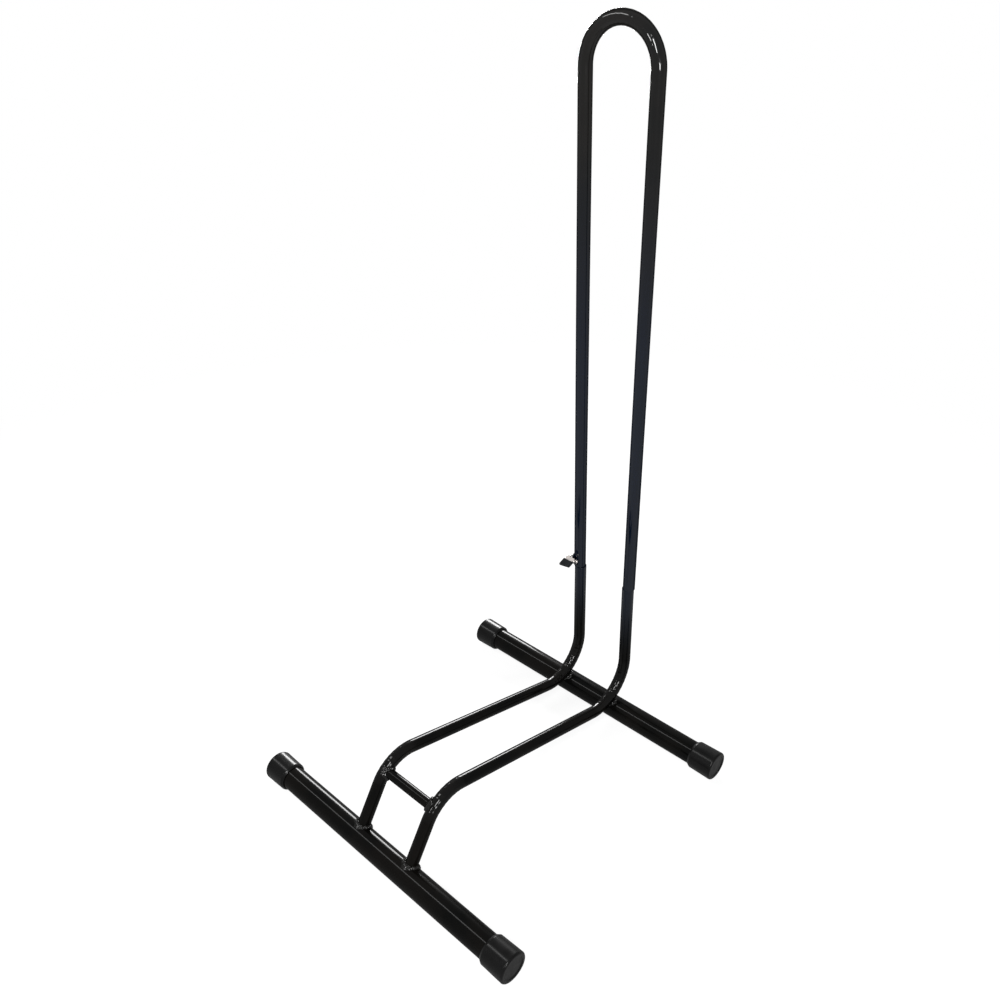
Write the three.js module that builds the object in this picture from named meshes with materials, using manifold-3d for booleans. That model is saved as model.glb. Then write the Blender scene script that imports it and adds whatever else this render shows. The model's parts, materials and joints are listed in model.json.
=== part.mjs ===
// Floor bike rack for one bicycle: two capped base tubes, a pair of bent rails that take the tyre
// between them, and a tall hoop that plugs onto the rails and holds the wheel upright.
// Millimetres, +Z up. The wheel rolls in from -Y and stands in the X = 0 plane.
// Origin: on the floor, at the centre of the whole rack's footprint box.
import * as THREE from 'three';
import { mergeVertices } from 'three/addons/utils/BufferGeometryUtils.js';
import Module from 'manifold-3d';

// ---------------------------------------------------------------- driving dimensions

// Base tubes and the caps on their ends.
const BASE_TUBE_DIAMETER = 31;
const BASE_TUBE_WALL = 1.5;
const BASE_LENGTH = 424.5; // over the two caps
const BASE_SPACING = 390; // front tube axis to rear tube axis
const CAP_LENGTH = 35;
const CAP_SEAM_DIAMETER = 37; // where the lead-in cone meets the body
const CAP_END_DIAMETER = 38.5; // the widest ring, just behind the rim
const CAP_LEAD_IN = 3;
const CAP_LIP_WALL = 0.9;
const CAP_END_WALL = 3;
const CAP_RIM_RADIUS = 2.4;
const CAP_RIM_FACETS = 3;
const CAP_FACE_BORDER = 2.2; // flat ring between the rim and the sunk disc
const CAP_FACE_INSET = 0.8;
const CAP_FLAT_DEPTH = 0.55; // worn flat that stands on the floor

// Rails: a leaning post, a long run down to the rear tube, and an upright stub for the hoop.
const RAIL_DIAMETER = 16;
const RAIL_WALL = 1.5;
const RAIL_SPACING_FRONT = 86; // axis to axis at the posts
const RAIL_SPACING_REAR = 81; // axis to axis at the stubs
const POST_LEAN = 31.55; // degrees off upright, towards the rear
const POST_LENGTH = 107; // base tube axis to the corner of the front bend
const FRONT_BEND_RADIUS = 49; // tube axis
const REAR_BEND_RADIUS = 55; // tube axis
const SADDLE_ANGLE = 25; // degrees ahead of the rear tube's top, where the bend lies on it
const LEG_LEAN = 1.6; // degrees off upright, towards the front; stubs and hoop share it
const JOINT_HEIGHT = 193; // base tube axis to the plug-in joint

// Crossbar between the rails.
const CROSSBAR_DIAMETER = 12.7;
const CROSSBAR_WALL = 1.2;
const CROSSBAR_TURN = 19.5; // degrees into the front bend, where the bar meets the rail

// Hoop.
const HOOP_DIAMETER = 16;
const HOOP_WALL = 1.2;
const HOOP_FOOT_SPACING = 83.4; // axis to axis at the joint
const HOOP_TOP_RADIUS = 46.2; // tube axis
const HOOP_HEIGHT = 685; // joint to the top of the tube, along the legs

// Spigots that the hoop plugs onto.
const SPIGOT_DIAMETER = 11;
const SPIGOT_WALL = 1.5;
const SPIGOT_IN_STUB = 45;
const SPIGOT_IN_HOOP = 60;

// Cam catch on the left leg: bracket, pin, plated lever and its black grip.
const CATCH_HEIGHT = 11.2; // joint to pin
const CATCH_OFFSET = -2.5; // middle of the cam, left of the leg's axis
const CATCH_STANDOFF = 2.5; // pin axis to the leg's front
const CAM_WIDTH = 5.4;
const CAM_HUB_RADIUS = 2.6;
const CAM_HEEL_ANGLE = 40; // degrees over the nose, where the cam meets its hub again
const CAM_NECK_ANGLE = 115; // degrees over the nose, where the neck leaves the hub
const EAR_THICKNESS = 2;
const EAR_RADIUS = 2.4;
const EAR_ROOT_TOP = 6.6; // above the pin, where the ear meets the leg
const EAR_ROOT_BOTTOM = 6; // below the pin
const EAR_BACK_ANGLE = 50; // degrees over the leg, where the ear's edge turns up to its root
const WEB_FRONT = 0.4; // the web's front face, behind the pin
const PIN_DIAMETER = 2.4;
const PIN_HEAD_DIAMETER = 4.4;
const PIN_HEAD_THICKNESS = 1;
const LEVER_THICKNESS = 1.6;
const LEVER_TOP = 4.3; // top face above the pin
const LEVER_WIDTH = 15.6;
const LEVER_OFFSET = -4.8; // middle of the thumb plate, left of the leg's axis
const LEVER_REACH = 7.5; // pin to the bend line
const LEVER_REAR = 1; // pin to the plate's rear edge, which is in front of the pin
const LEVER_HEEL = 4.5; // how far the plate runs back past the pin, close beside the leg
const LEVER_SHOULDER = 0.7; // the same at its outboard corner
const LEVER_CORNER = 2.2;
const TONGUE_INSET = 1.3; // the tongue in the grip is this much narrower on each side
const TONGUE_LENGTH = 8;
const GRIP_START = 1; // bend line to the grip's mouth
const GRIP_LENGTH = 12.5; // bend line to its outboard end
const GRIP_SKEW = 2; // how much shorter it is inboard
const GRIP_THICKNESS = 3.8;
const GRIP_CORNER = 1.3;
const GRIP_DROOP = 19; // degrees below the plate

// Weld beads.
const POST_BEAD_RADIUS = 2.6;
const CROSSBAR_BEAD_RADIUS = 1.9;
const BEAD_LIFT = 0.7; // bead centre off both of the surfaces that it joins
const SADDLE_BEAD = { across: 9.6, along: 9.2, thick: 3.4 }; // half sizes

// Clearances and facets.
const FIT_GAP = 0.3;
const WINDOW_GAP = 0.4;
const TUBE_SIDES = 20;
const BASE_SIDES = 32;
const BEND_STEP = 9; // degrees between rings in a bend
const CURVE_FACETS = 4; // in each rounded corner of a flat piece
const BEAD_FACETS = { around: 28, section: 10 };
const SADDLE_FACETS = { around: 24, section: 14 };
const OVERRUN = 1; // how far a cutter runs past what it cuts
const WELD_TOLERANCE = 1e-4; // corners nearer than this are one corner

// ---------------------------------------------------------------- derived sizes

const radians = THREE.MathUtils.degToRad;
const baseRadius = BASE_TUBE_DIAMETER / 2;
const railRadius = RAIL_DIAMETER / 2;
const hoopRadius = HOOP_DIAMETER / 2;
const spigotRadius = SPIGOT_DIAMETER / 2;
const capBore = baseRadius + FIT_GAP;
const baseHeight = CAP_END_DIAMETER / 2 - CAP_FLAT_DEPTH;
const lean = radians(LEG_LEAN);

const X = new THREE.Vector3(1, 0, 0);
const Y = new THREE.Vector3(0, 1, 0);
const Z = new THREE.Vector3(0, 0, 1);
/** A point or direction in the side view. */
const side = (y, z) => new THREE.Vector3(0, y, z);

// ---------------------------------------------------------------- finishes

const finish = (color, roughness, metalness) =>
  () => new THREE.MeshStandardMaterial({ color, roughness, metalness });
const glossBlack = finish('#17171a', 0.22, 0.35);
const capBlack = finish('#1d1d1f', 0.55, 0);
const gripBlack = finish('#232325', 0.45, 0);
const zincPlate = finish('#cfcfca', 0.35, 0.9);

// ---------------------------------------------------------------- solids

const wasm = await Module();
wasm.setup();

/** Welds a geometry's shared corners and drops its empty triangles, as manifold-3d needs. */
function toSolid(geometry) {
  const bare = geometry.clone();
  bare.deleteAttribute('normal');
  bare.deleteAttribute('uv');
  const welded = mergeVertices(bare, WELD_TOLERANCE);
  const triVerts = [];
  for (let i = 0; i < welded.index.count; i += 3) {
    const [a, b, c] = [0, 1, 2].map((k) => welded.index.getX(i + k));
    if (a !== b && b !== c && c !== a) triVerts.push(a, b, c);
  }
  return new wasm.Manifold(new wasm.Mesh({
    numProp: 3,
    vertProperties: new Float32Array(welded.attributes.position.array),
    triVerts: new Uint32Array(triVerts),
  }));
}

/** Gives a solid back as a geometry. */
function toGeometry(solid) {
  const mesh = solid.getMesh();
  const geometry = new THREE.BufferGeometry();
  geometry.setAttribute('position', new THREE.BufferAttribute(mesh.vertProperties, 3));
  geometry.setIndex(new THREE.BufferAttribute(mesh.triVerts, 1));
  return geometry;
}

/** The first geometry with all the others joined to it. */
const join = (first, ...others) =>
  toGeometry(others.reduce((solid, other) => solid.add(toSolid(other)), toSolid(first)));

/** The first geometry with all the others cut from it. */
const cut = (first, ...others) =>
  toGeometry(others.reduce((solid, other) => solid.subtract(toSolid(other)), toSolid(first)));

/** A copy of a geometry, moved by a matrix. */
const moved = (geometry, matrix) => geometry.clone().applyMatrix4(matrix);

/** The frame with these axes and this origin. */
const frameAt = (origin, x, y, z) => new THREE.Matrix4().makeBasis(x, y, z).setPosition(origin);

/** A box between two corners. */
function block(low, high) {
  const box = new THREE.Box3(new THREE.Vector3(...low), new THREE.Vector3(...high));
  const size = box.getSize(new THREE.Vector3());
  const middle = box.getCenter(new THREE.Vector3());
  return new THREE.BoxGeometry(size.x, size.y, size.z).translate(middle.x, middle.y, middle.z);
}

/** A rod along X, from one x to another, through (y, z). */
const rodAlongX = (radius, from, to, y, z, sides = TUBE_SIDES) =>
  new THREE.CylinderGeometry(radius, radius, to - from, sides)
    .rotateZ(Math.PI / 2)
    .translate((from + to) / 2, y, z);

/** An (x, y) outline given thickness along Z, from z = 0. */
const flatPlate = (shape, thickness) => new THREE.ExtrudeGeometry(shape, {
  depth: thickness,
  bevelEnabled: false,
  curveSegments: CURVE_FACETS,
});

/** A (y, z) outline given thickness along X, from one x to another. */
const plateAcrossX = (shape, from, to) =>
  flatPlate(shape, to - from).applyMatrix4(frameAt(new THREE.Vector3(from, 0, 0), Y, Z, X));

// ---------------------------------------------------------------- tubes along a route

/** A route with rings only where the shape needs them: at its ends and through its bends. */
class RingRoute extends THREE.Curve {
  constructor(rings) {
    super();
    this.rings = rings;
  }

  at(u) {
    return this.rings[Math.round(u * (this.rings.length - 1))];
  }

  getPointAt(u, target = new THREE.Vector3()) {
    return target.copy(this.at(u).point);
  }

  getTangentAt(u, target = new THREE.Vector3()) {
    return target.copy(this.at(u).tangent);
  }
}

/** Rings along straight lines between corners, with an arc of the given radius at each corner. */
function routeThrough(corners, radii) {
  const heading = (i) => corners[i + 1].clone().sub(corners[i]).normalize();
  const rings = [{ point: corners[0], tangent: heading(0) }];
  for (let i = 1; i < corners.length - 1; i += 1) {
    const [into, out] = [heading(i - 1), heading(i)];
    const turn = into.angleTo(out);
    const radius = radii[i - 1];
    const start = corners[i].clone().addScaledVector(into, -radius * Math.tan(turn / 2));
    const inward = out.clone().addScaledVector(into, -into.dot(out)).normalize();
    const steps = Math.max(2, Math.round(THREE.MathUtils.radToDeg(turn) / BEND_STEP));
    for (let k = 0; k <= steps; k += 1) {
      const angle = (turn * k) / steps;
      rings.push({
        point: start.clone()
          .addScaledVector(into, radius * Math.sin(angle))
          .addScaledVector(inward, radius * (1 - Math.cos(angle))),
        tangent: into.clone()
          .multiplyScalar(Math.cos(angle))
          .addScaledVector(inward, Math.sin(angle)),
      });
    }
  }
  rings.push({ point: corners.at(-1), tangent: heading(corners.length - 2) });
  return new RingRoute(rings);
}

/** A rod, or a tube if it has a bore, along a route. */
function sweep(route, radius, bore = 0, sides = TUBE_SIDES) {
  const section = new THREE.Shape().absarc(0, 0, radius, 0, 2 * Math.PI, false);
  if (bore > 0) section.holes.push(new THREE.Path().absarc(0, 0, bore, 0, 2 * Math.PI, true));
  return new THREE.ExtrudeGeometry(section, {
    steps: route.rings.length - 1,
    extrudePath: route,
    curveSegments: sides / 2,
    bevelEnabled: false,
  });
}

// ---------------------------------------------------------------- the frame's lines

/** Meeting point of two lines in the side view, each a point and a direction. */
function crossing(p, d, q, e) {
  const across = d.y * e.z - d.z * e.y;
  const along = ((q.y - p.y) * e.z - (q.z - p.z) * e.y) / across;
  return p.clone().addScaledVector(d, along);
}

const frontAxis = side(0, 0);
const rearAxis = side(BASE_SPACING, 0);
const postHeading = side(Math.sin(radians(POST_LEAN)), Math.cos(radians(POST_LEAN)));
const frontCorner = frontAxis.clone().addScaledVector(postHeading, POST_LENGTH);

// The rear bend lies on the rear tube: its centre stands off along the saddle's normal.
const saddleNormal = side(-Math.sin(radians(SADDLE_ANGLE)), Math.cos(radians(SADDLE_ANGLE)));
const saddleReach = baseRadius + FIT_GAP + railRadius + REAR_BEND_RADIUS;
const rearBendCentre = rearAxis.clone().addScaledVector(saddleNormal, saddleReach);

// The run is the line from the front corner that touches the underside of the rear bend.
const toCentre = rearBendCentre.clone().sub(frontCorner);
const runAngle = Math.atan2(toCentre.z, toCentre.y) - Math.asin(REAR_BEND_RADIUS / toCentre.length());
const runHeading = side(Math.cos(runAngle), Math.sin(runAngle));

// Stubs and hoop legs share one leaning line, which leaves the rear bend at its rearmost side.
const legHeading = side(-Math.sin(lean), Math.cos(lean));
const legNormal = side(Math.cos(lean), Math.sin(lean));
const legStart = rearBendCentre.clone().addScaledVector(legNormal, REAR_BEND_RADIUS);
const rearCorner = crossing(frontCorner, runHeading, legStart, legHeading);
const joint = legStart.clone().addScaledVector(
  legHeading,
  (JOINT_HEIGHT - legStart.z) / Math.cos(lean),
);

/** The route of a rail; hand is -1 for the left one and +1 for the right one. */
function railRoute(hand) {
  const front = new THREE.Vector3(hand * RAIL_SPACING_FRONT / 2, 0, 0);
  const rear = new THREE.Vector3(hand * RAIL_SPACING_REAR / 2, 0, 0);
  const corners = [
    frontAxis.clone().add(front),
    frontCorner.clone().add(front),
    rearCorner.clone().add(rear),
    joint.clone().add(rear),
  ];
  return routeThrough(corners, [FRONT_BEND_RADIUS, REAR_BEND_RADIUS]);
}

/** Which side of the X = 0 plane each side of the rack is on. */
const hands = { left: -1, right: 1 };
const railRoutes = { left: railRoute(hands.left), right: railRoute(hands.right) };

/** The space that a rail takes up, with the fit gap round it. */
const railEnvelope = (name) => sweep(railRoutes[name], railRadius + FIT_GAP);
/** The space that a base tube takes up, with the fit gap round it. */
const baseEnvelope = (axis) =>
  rodAlongX(baseRadius + FIT_GAP, -BASE_LENGTH / 2, BASE_LENGTH / 2, axis.y, axis.z, BASE_SIDES);

// ---------------------------------------------------------------- base tubes and caps

function baseTube() {
  const half = BASE_LENGTH / 2 - CAP_END_WALL - FIT_GAP;
  const ends = routeThrough([new THREE.Vector3(-half, 0, 0), new THREE.Vector3(half, 0, 0)], []);
  return sweep(ends, baseRadius, baseRadius - BASE_TUBE_WALL, BASE_SIDES);
}

/** A cap with its mouth at x = 0 and its face at x = CAP_LENGTH, flat underneath. */
function endCap() {
  const seam = CAP_SEAM_DIAMETER / 2;
  const end = CAP_END_DIAMETER / 2;
  const face = end - CAP_RIM_RADIUS - CAP_FACE_BORDER;
  const floor = CAP_LENGTH - CAP_END_WALL;
  const rim = Array.from({ length: CAP_RIM_FACETS + 1 }, (_, i) => {
    const angle = (i / CAP_RIM_FACETS) * (Math.PI / 2);
    return new THREE.Vector2(
      end - CAP_RIM_RADIUS * (1 - Math.cos(angle)),
      CAP_LENGTH - CAP_RIM_RADIUS * (1 - Math.sin(angle)),
    );
  });
  const profile = [
    new THREE.Vector2(0, floor),
    new THREE.Vector2(capBore, floor),
    new THREE.Vector2(capBore, 0),
    new THREE.Vector2(capBore + CAP_LIP_WALL, 0),
    new THREE.Vector2(seam, CAP_LEAD_IN),
    ...rim,
    new THREE.Vector2(face, CAP_LENGTH),
    new THREE.Vector2(face - CAP_FACE_INSET, CAP_LENGTH - CAP_FACE_INSET),
    new THREE.Vector2(0, CAP_LENGTH - CAP_FACE_INSET),
  ];
  const body = new THREE.LatheGeometry(profile, BASE_SIDES).rotateZ(-Math.PI / 2);
  const underfloor = block([-OVERRUN, -end, -end - OVERRUN], [CAP_LENGTH + OVERRUN, end, -baseHeight]);
  return cut(body, underfloor);
}

// ---------------------------------------------------------------- rails and crossbar

/** A bent rail, coped to the front base tube and open at both ends. */
const rail = (name) =>
  cut(sweep(railRoutes[name], railRadius, railRadius - RAIL_WALL), baseEnvelope(frontAxis));

// The bar's axis meets the rails' axes part way into their front bends.
const frontBend = new THREE.Vector2(
  Math.sin(radians(CROSSBAR_TURN)),
  1 - Math.cos(radians(CROSSBAR_TURN)),
).multiplyScalar(FRONT_BEND_RADIUS);
const postNormal = side(postHeading.z, -postHeading.y);
const postEnd = POST_LENGTH - FRONT_BEND_RADIUS * Math.tan(postHeading.angleTo(runHeading) / 2);
const crossbarAxis = postHeading.clone().multiplyScalar(postEnd + frontBend.x)
  .addScaledVector(postNormal, frontBend.y);
const crossbarHeading = postHeading.clone().applyAxisAngle(X, -radians(CROSSBAR_TURN));

function crossbar() {
  const half = RAIL_SPACING_FRONT / 2;
  const { y, z } = crossbarAxis;
  const radius = CROSSBAR_DIAMETER / 2;
  const outer = rodAlongX(radius, -half, half, y, z);
  const bore = rodAlongX(radius - CROSSBAR_WALL, -half - OVERRUN, half + OVERRUN, y, z);
  return cut(outer, bore, railEnvelope('left'), railEnvelope('right'));
}

// ---------------------------------------------------------------- hoop and spigots

// The legs run from their feet to the sides of the top arc, so they spread a little upwards.
const hoopCentre = HOOP_HEIGHT - HOOP_TOP_RADIUS - hoopRadius;
const footToCentre = new THREE.Vector3(HOOP_FOOT_SPACING / 2, 0, hoopCentre);
const legTilt = Math.asin(HOOP_TOP_RADIUS / footToCentre.length())
  - Math.atan2(footToCentre.x, footToCentre.z);

/** The frame of a leg in the hoop's frame: its origin at the joint, Z along the leg. */
function legFrame(hand, spacing) {
  const foot = new THREE.Vector3(hand * spacing / 2, 0, 0);
  return new THREE.Matrix4().makeRotationY(hand * legTilt).setPosition(foot);
}

function hoop() {
  const arc = Math.PI + 2 * legTilt;
  const arcSteps = Math.round(THREE.MathUtils.radToDeg(arc) / BEND_STEP);
  const foot = (hand) =>
    new THREE.Vector3(0, 0, FIT_GAP).applyMatrix4(legFrame(hand, HOOP_FOOT_SPACING));
  const up = (hand) => new THREE.Vector3(hand * Math.sin(legTilt), 0, Math.cos(legTilt));
  const rings = [{ point: foot(hands.left), tangent: up(hands.left) }];
  for (let k = 0; k <= arcSteps; k += 1) {
    const angle = Math.PI + legTilt - (arc * k) / arcSteps;
    rings.push({
      point: new THREE.Vector3(
        HOOP_TOP_RADIUS * Math.cos(angle),
        0,
        hoopCentre + HOOP_TOP_RADIUS * Math.sin(angle),
      ),
      tangent: new THREE.Vector3(Math.sin(angle), 0, -Math.cos(angle)),
    });
  }
  rings.push({ point: foot(hands.right), tangent: up(hands.right).negate() });
  return cut(sweep(new RingRoute(rings), hoopRadius, hoopRadius - HOOP_WALL), catchWindow());
}

function spigot() {
  const ends = [new THREE.Vector3(0, 0, -SPIGOT_IN_STUB), new THREE.Vector3(0, 0, SPIGOT_IN_HOOP)];
  return sweep(routeThrough(ends, []), spigotRadius, spigotRadius - SPIGOT_WALL);
}

// ---------------------------------------------------------------- cam catch

// The catch is drawn in its own frame: X along the pin, +Y into the leg, Z up the leg,
// with the pin's axis at the origin and x measured from the leg's axis.
const legAxisY = hoopRadius + CATCH_STANDOFF;
const camReach = legAxisY - spigotRadius - FIT_GAP;
const camEdges = [CATCH_OFFSET - CAM_WIDTH / 2, CATCH_OFFSET + CAM_WIDTH / 2];
const earFaces = [camEdges[0] - FIT_GAP, camEdges[1] + FIT_GAP];
const pinRadius = PIN_DIAMETER / 2;
const catchFrame = new THREE.Matrix4().makeTranslation(0, -legAxisY, CATCH_HEIGHT)
  .premultiply(legFrame(hands.left, HOOP_FOOT_SPACING));

/** The leg, with the fit gap round it, in the catch's frame. */
function legEnvelope() {
  const radius = hoopRadius + FIT_GAP;
  const reach = EAR_ROOT_TOP + OVERRUN;
  return new THREE.CylinderGeometry(radius, radius, 2 * reach, 2 * TUBE_SIDES)
    .rotateX(Math.PI / 2)
    .translate(0, legAxisY, 0);
}

/** The slot in the leg's front wall that the cam reaches through. */
function catchWindow() {
  const tall = camReach + WINDOW_GAP;
  const low = [camEdges[0] - WINDOW_GAP, -CATCH_STANDOFF, -tall];
  const high = [camEdges[1] + WINDOW_GAP, legAxisY, tall];
  return moved(block(low, high), catchFrame);
}

/** Two ears either side of the cam, joined by a web under it and coped to the leg. */
function catchBracket() {
  const [left, right] = [earFaces[0] - EAR_THICKNESS, earFaces[1] + EAR_THICKNESS];
  const profile = new THREE.Shape()
    .moveTo(legAxisY, -EAR_ROOT_BOTTOM)
    .lineTo(legAxisY, EAR_ROOT_TOP)
    .lineTo(legAxisY - spigotRadius, EAR_ROOT_TOP)
    .absarc(0, 0, EAR_RADIUS, radians(EAR_BACK_ANGLE), 1.5 * Math.PI, false)
    .lineTo(WEB_FRONT, -EAR_ROOT_BOTTOM);
  const ears = join(
    plateAcrossX(profile, left, earFaces[0]),
    plateAcrossX(profile, earFaces[1], right),
    block([left, WEB_FRONT, -EAR_ROOT_BOTTOM], [right, legAxisY, -camReach - FIT_GAP]),
  );
  const pinHole = rodAlongX(pinRadius + FIT_GAP, left - OVERRUN, right + OVERRUN, 0, 0);
  return cut(ears, legEnvelope(), pinHole);
}

/** The pin, headed over outside both ears. */
function catchPin() {
  const from = earFaces[0] - EAR_THICKNESS - FIT_GAP;
  const to = earFaces[1] + EAR_THICKNESS + FIT_GAP;
  const head = PIN_HEAD_DIAMETER / 2;
  return join(
    rodAlongX(pinRadius, from - PIN_HEAD_THICKNESS / 2, to + PIN_HEAD_THICKNESS / 2, 0, 0),
    rodAlongX(head, from - PIN_HEAD_THICKNESS, from, 0, 0),
    rodAlongX(head, to, to + PIN_HEAD_THICKNESS, 0, 0),
  );
}

/** The frame of the drooping end: its origin on the bend line, -Y out along the droop. */
const droopFrame = new THREE.Matrix4().makeRotationX(radians(GRIP_DROOP))
  .setPosition(0, -LEVER_REACH, LEVER_TOP);
const leverSides = [LEVER_OFFSET - LEVER_WIDTH / 2, LEVER_OFFSET + LEVER_WIDTH / 2];

/** The lever's tongue in the drooping frame, back to a root, grown by a gap on every side. */
const tongue = (root, gap = 0) => block(
  [leverSides[0] + TONGUE_INSET - gap, -TONGUE_LENGTH - gap, -LEVER_THICKNESS - gap],
  [leverSides[1] - TONGUE_INSET + gap, root, gap],
);

/** The plated lever: a snail cam on the pin, a thumb plate over it and a drooping tongue. */
function catchLever() {
  const [left, right] = leverSides;
  const outline = new THREE.Shape()
    .moveTo(right, -LEVER_REACH)
    .lineTo(right, -LEVER_REAR)
    .lineTo(-hoopRadius, -LEVER_REAR)
    .lineTo(-hoopRadius - FIT_GAP, LEVER_HEEL)
    .lineTo(left + LEVER_CORNER, LEVER_SHOULDER)
    .quadraticCurveTo(left, LEVER_SHOULDER, left, LEVER_SHOULDER - LEVER_CORNER)
    .lineTo(left, -LEVER_REACH);
  const plate = flatPlate(outline, LEVER_THICKNESS).translate(0, 0, LEVER_TOP - LEVER_THICKNESS);
  const neckTop = LEVER_TOP - LEVER_THICKNESS / 2;
  const cam = new THREE.Shape()
    .moveTo(-CAM_HUB_RADIUS - LEVER_THICKNESS, neckTop)
    .lineTo(-CAM_HUB_RADIUS, 0)
    .absarc(0, 0, CAM_HUB_RADIUS, Math.PI, 1.5 * Math.PI, false)
    .quadraticCurveTo(camReach, -CAM_HUB_RADIUS, camReach, 0)
    .absarc(0, 0, CAM_HUB_RADIUS, radians(CAM_HEEL_ANGLE), radians(CAM_NECK_ANGLE), false)
    .lineTo(-LEVER_REAR - FIT_GAP, neckTop);
  const body = join(
    plate,
    plateAcrossX(cam, camEdges[0], camEdges[1]),
    moved(tongue(LEVER_THICKNESS / 2), droopFrame),
  );
  const pinHole = rodAlongX(pinRadius + FIT_GAP, camEdges[0] - OVERRUN, camEdges[1] + OVERRUN, 0, 0);
  return cut(body, pinHole);
}

/** The black grip over the tongue. */
function catchGrip() {
  const [left, right] = leverSides;
  const outline = new THREE.Shape()
    .moveTo(right, -GRIP_START)
    .lineTo(left, -GRIP_START)
    .lineTo(left, -GRIP_LENGTH + GRIP_CORNER)
    .quadraticCurveTo(left, -GRIP_LENGTH, left + GRIP_CORNER, -GRIP_LENGTH)
    .lineTo(right - GRIP_CORNER, GRIP_SKEW - GRIP_LENGTH)
    .quadraticCurveTo(right, GRIP_SKEW - GRIP_LENGTH, right, GRIP_SKEW - GRIP_LENGTH + GRIP_CORNER);
  const proud = (GRIP_THICKNESS - LEVER_THICKNESS) / 2;
  const body = flatPlate(outline, GRIP_THICKNESS).translate(0, 0, proud - GRIP_THICKNESS);
  return moved(cut(body, tongue(FIT_GAP, FIT_GAP)), droopFrame);
}

// ---------------------------------------------------------------- weld beads

/** A bead round a branch tube along Z, where it stands on a host tube along X at the origin. */
function collarBead(branchRadius, hostRadius, beadRadius) {
  const { around, section } = BEAD_FACETS;
  const ring = new THREE.TorusGeometry(branchRadius + BEAD_LIFT, beadRadius, section, around);
  const corners = ring.attributes.position;
  for (let i = 0; i < corners.count; i += 1) {
    const aside = Math.min(Math.abs(corners.getY(i)), hostRadius);
    corners.setZ(i, corners.getZ(i) + BEAD_LIFT + Math.sqrt(hostRadius ** 2 - aside ** 2));
  }
  return ring;
}

/** The bead round the foot of a post. */
function postWeld(name) {
  const foot = new THREE.Vector3(hands[name] * RAIL_SPACING_FRONT / 2, 0, 0);
  const frame = frameAt(foot, X, postHeading.clone().cross(X), postHeading);
  const bead = moved(collarBead(railRadius, baseRadius, POST_BEAD_RADIUS), frame);
  return cut(bead, baseEnvelope(frontAxis), railEnvelope(name));
}

/** The bead round an end of the crossbar. */
function crossbarWeld(name) {
  const inward = X.clone().multiplyScalar(-hands[name]);
  const end = crossbarAxis.clone().setX(hands[name] * RAIL_SPACING_FRONT / 2);
  const frame = frameAt(end, crossbarHeading, inward.clone().cross(crossbarHeading), inward);
  const bead = moved(collarBead(CROSSBAR_DIAMETER / 2, railRadius, CROSSBAR_BEAD_RADIUS), frame);
  const bar = rodAlongX(
    CROSSBAR_DIAMETER / 2 + FIT_GAP, -RAIL_SPACING_FRONT / 2, RAIL_SPACING_FRONT / 2,
    crossbarAxis.y, crossbarAxis.z,
  );
  return cut(bead, bar, railEnvelope(name));
}

/** The bead in the crevice all round the spot where a rail lies on the rear base tube. */
function saddleWeld(name) {
  const contact = rearAxis.clone().addScaledVector(saddleNormal, baseRadius + FIT_GAP / 2);
  contact.setX(hands[name] * RAIL_SPACING_REAR / 2);
  const lump = new THREE.SphereGeometry(1, SADDLE_FACETS.around, SADDLE_FACETS.section)
    .rotateX(Math.PI / 2)
    .scale(SADDLE_BEAD.across, SADDLE_BEAD.along, SADDLE_BEAD.thick);
  const frame = frameAt(contact, X, saddleNormal.clone().cross(X), saddleNormal);
  return cut(moved(lump, frame), baseEnvelope(rearAxis), railEnvelope(name));
}

// ---------------------------------------------------------------- assembly

/** A named sub-part. */
function part(name, geometry, material) {
  const mesh = new THREE.Mesh(geometry, material());
  mesh.name = name;
  return mesh;
}

const rack = new THREE.Group();

for (const [end, axis] of Object.entries({ front: frontAxis, rear: rearAxis })) {
  const tube = part(`${end}_base_tube`, baseTube(), glossBlack);
  tube.position.copy(axis);
  rack.add(tube);
  for (const [name, hand] of Object.entries(hands)) {
    const cap = part(`${end}_${name}_cap`, endCap(), capBlack);
    cap.position.copy(axis).setX(hand * (BASE_LENGTH / 2 - CAP_LENGTH));
    if (hand < 0) cap.rotation.z = Math.PI;
    rack.add(cap);
  }
}

const hoopFrame = new THREE.Group();
hoopFrame.position.copy(joint);
hoopFrame.rotation.x = lean;
rack.add(hoopFrame);
hoopFrame.add(part('hoop', hoop(), glossBlack));

for (const [name, hand] of Object.entries(hands)) {
  rack.add(part(`${name}_rail`, rail(name), glossBlack));
  rack.add(part(`${name}_post_weld`, postWeld(name), glossBlack));
  rack.add(part(`${name}_crossbar_weld`, crossbarWeld(name), glossBlack));
  rack.add(part(`${name}_saddle_weld`, saddleWeld(name), glossBlack));
  const plug = part(`${name}_spigot`, spigot(), zincPlate);
  plug.applyMatrix4(legFrame(hand, (RAIL_SPACING_REAR + HOOP_FOOT_SPACING) / 2));
  hoopFrame.add(plug);
}
rack.add(part('crossbar', crossbar(), glossBlack));

const camCatch = new THREE.Group();
camCatch.applyMatrix4(catchFrame);
camCatch.add(
  part('catch_bracket', catchBracket(), glossBlack),
  part('catch_pin', catchPin(), zincPlate),
  part('catch_lever', catchLever(), zincPlate),
  part('catch_grip', catchGrip(), gripBlack),
);
hoopFrame.add(camCatch);

// The caps stand on the floor, and the origin is the middle of the footprint box.
rack.position.z = baseHeight;
const footprint = new THREE.Box3().setFromObject(rack, true);
rack.position.y = -(footprint.min.y + footprint.max.y) / 2;

const model = new THREE.Group();
model.add(rack);
model.updateMatrixWorld(true);

export default model;
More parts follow.
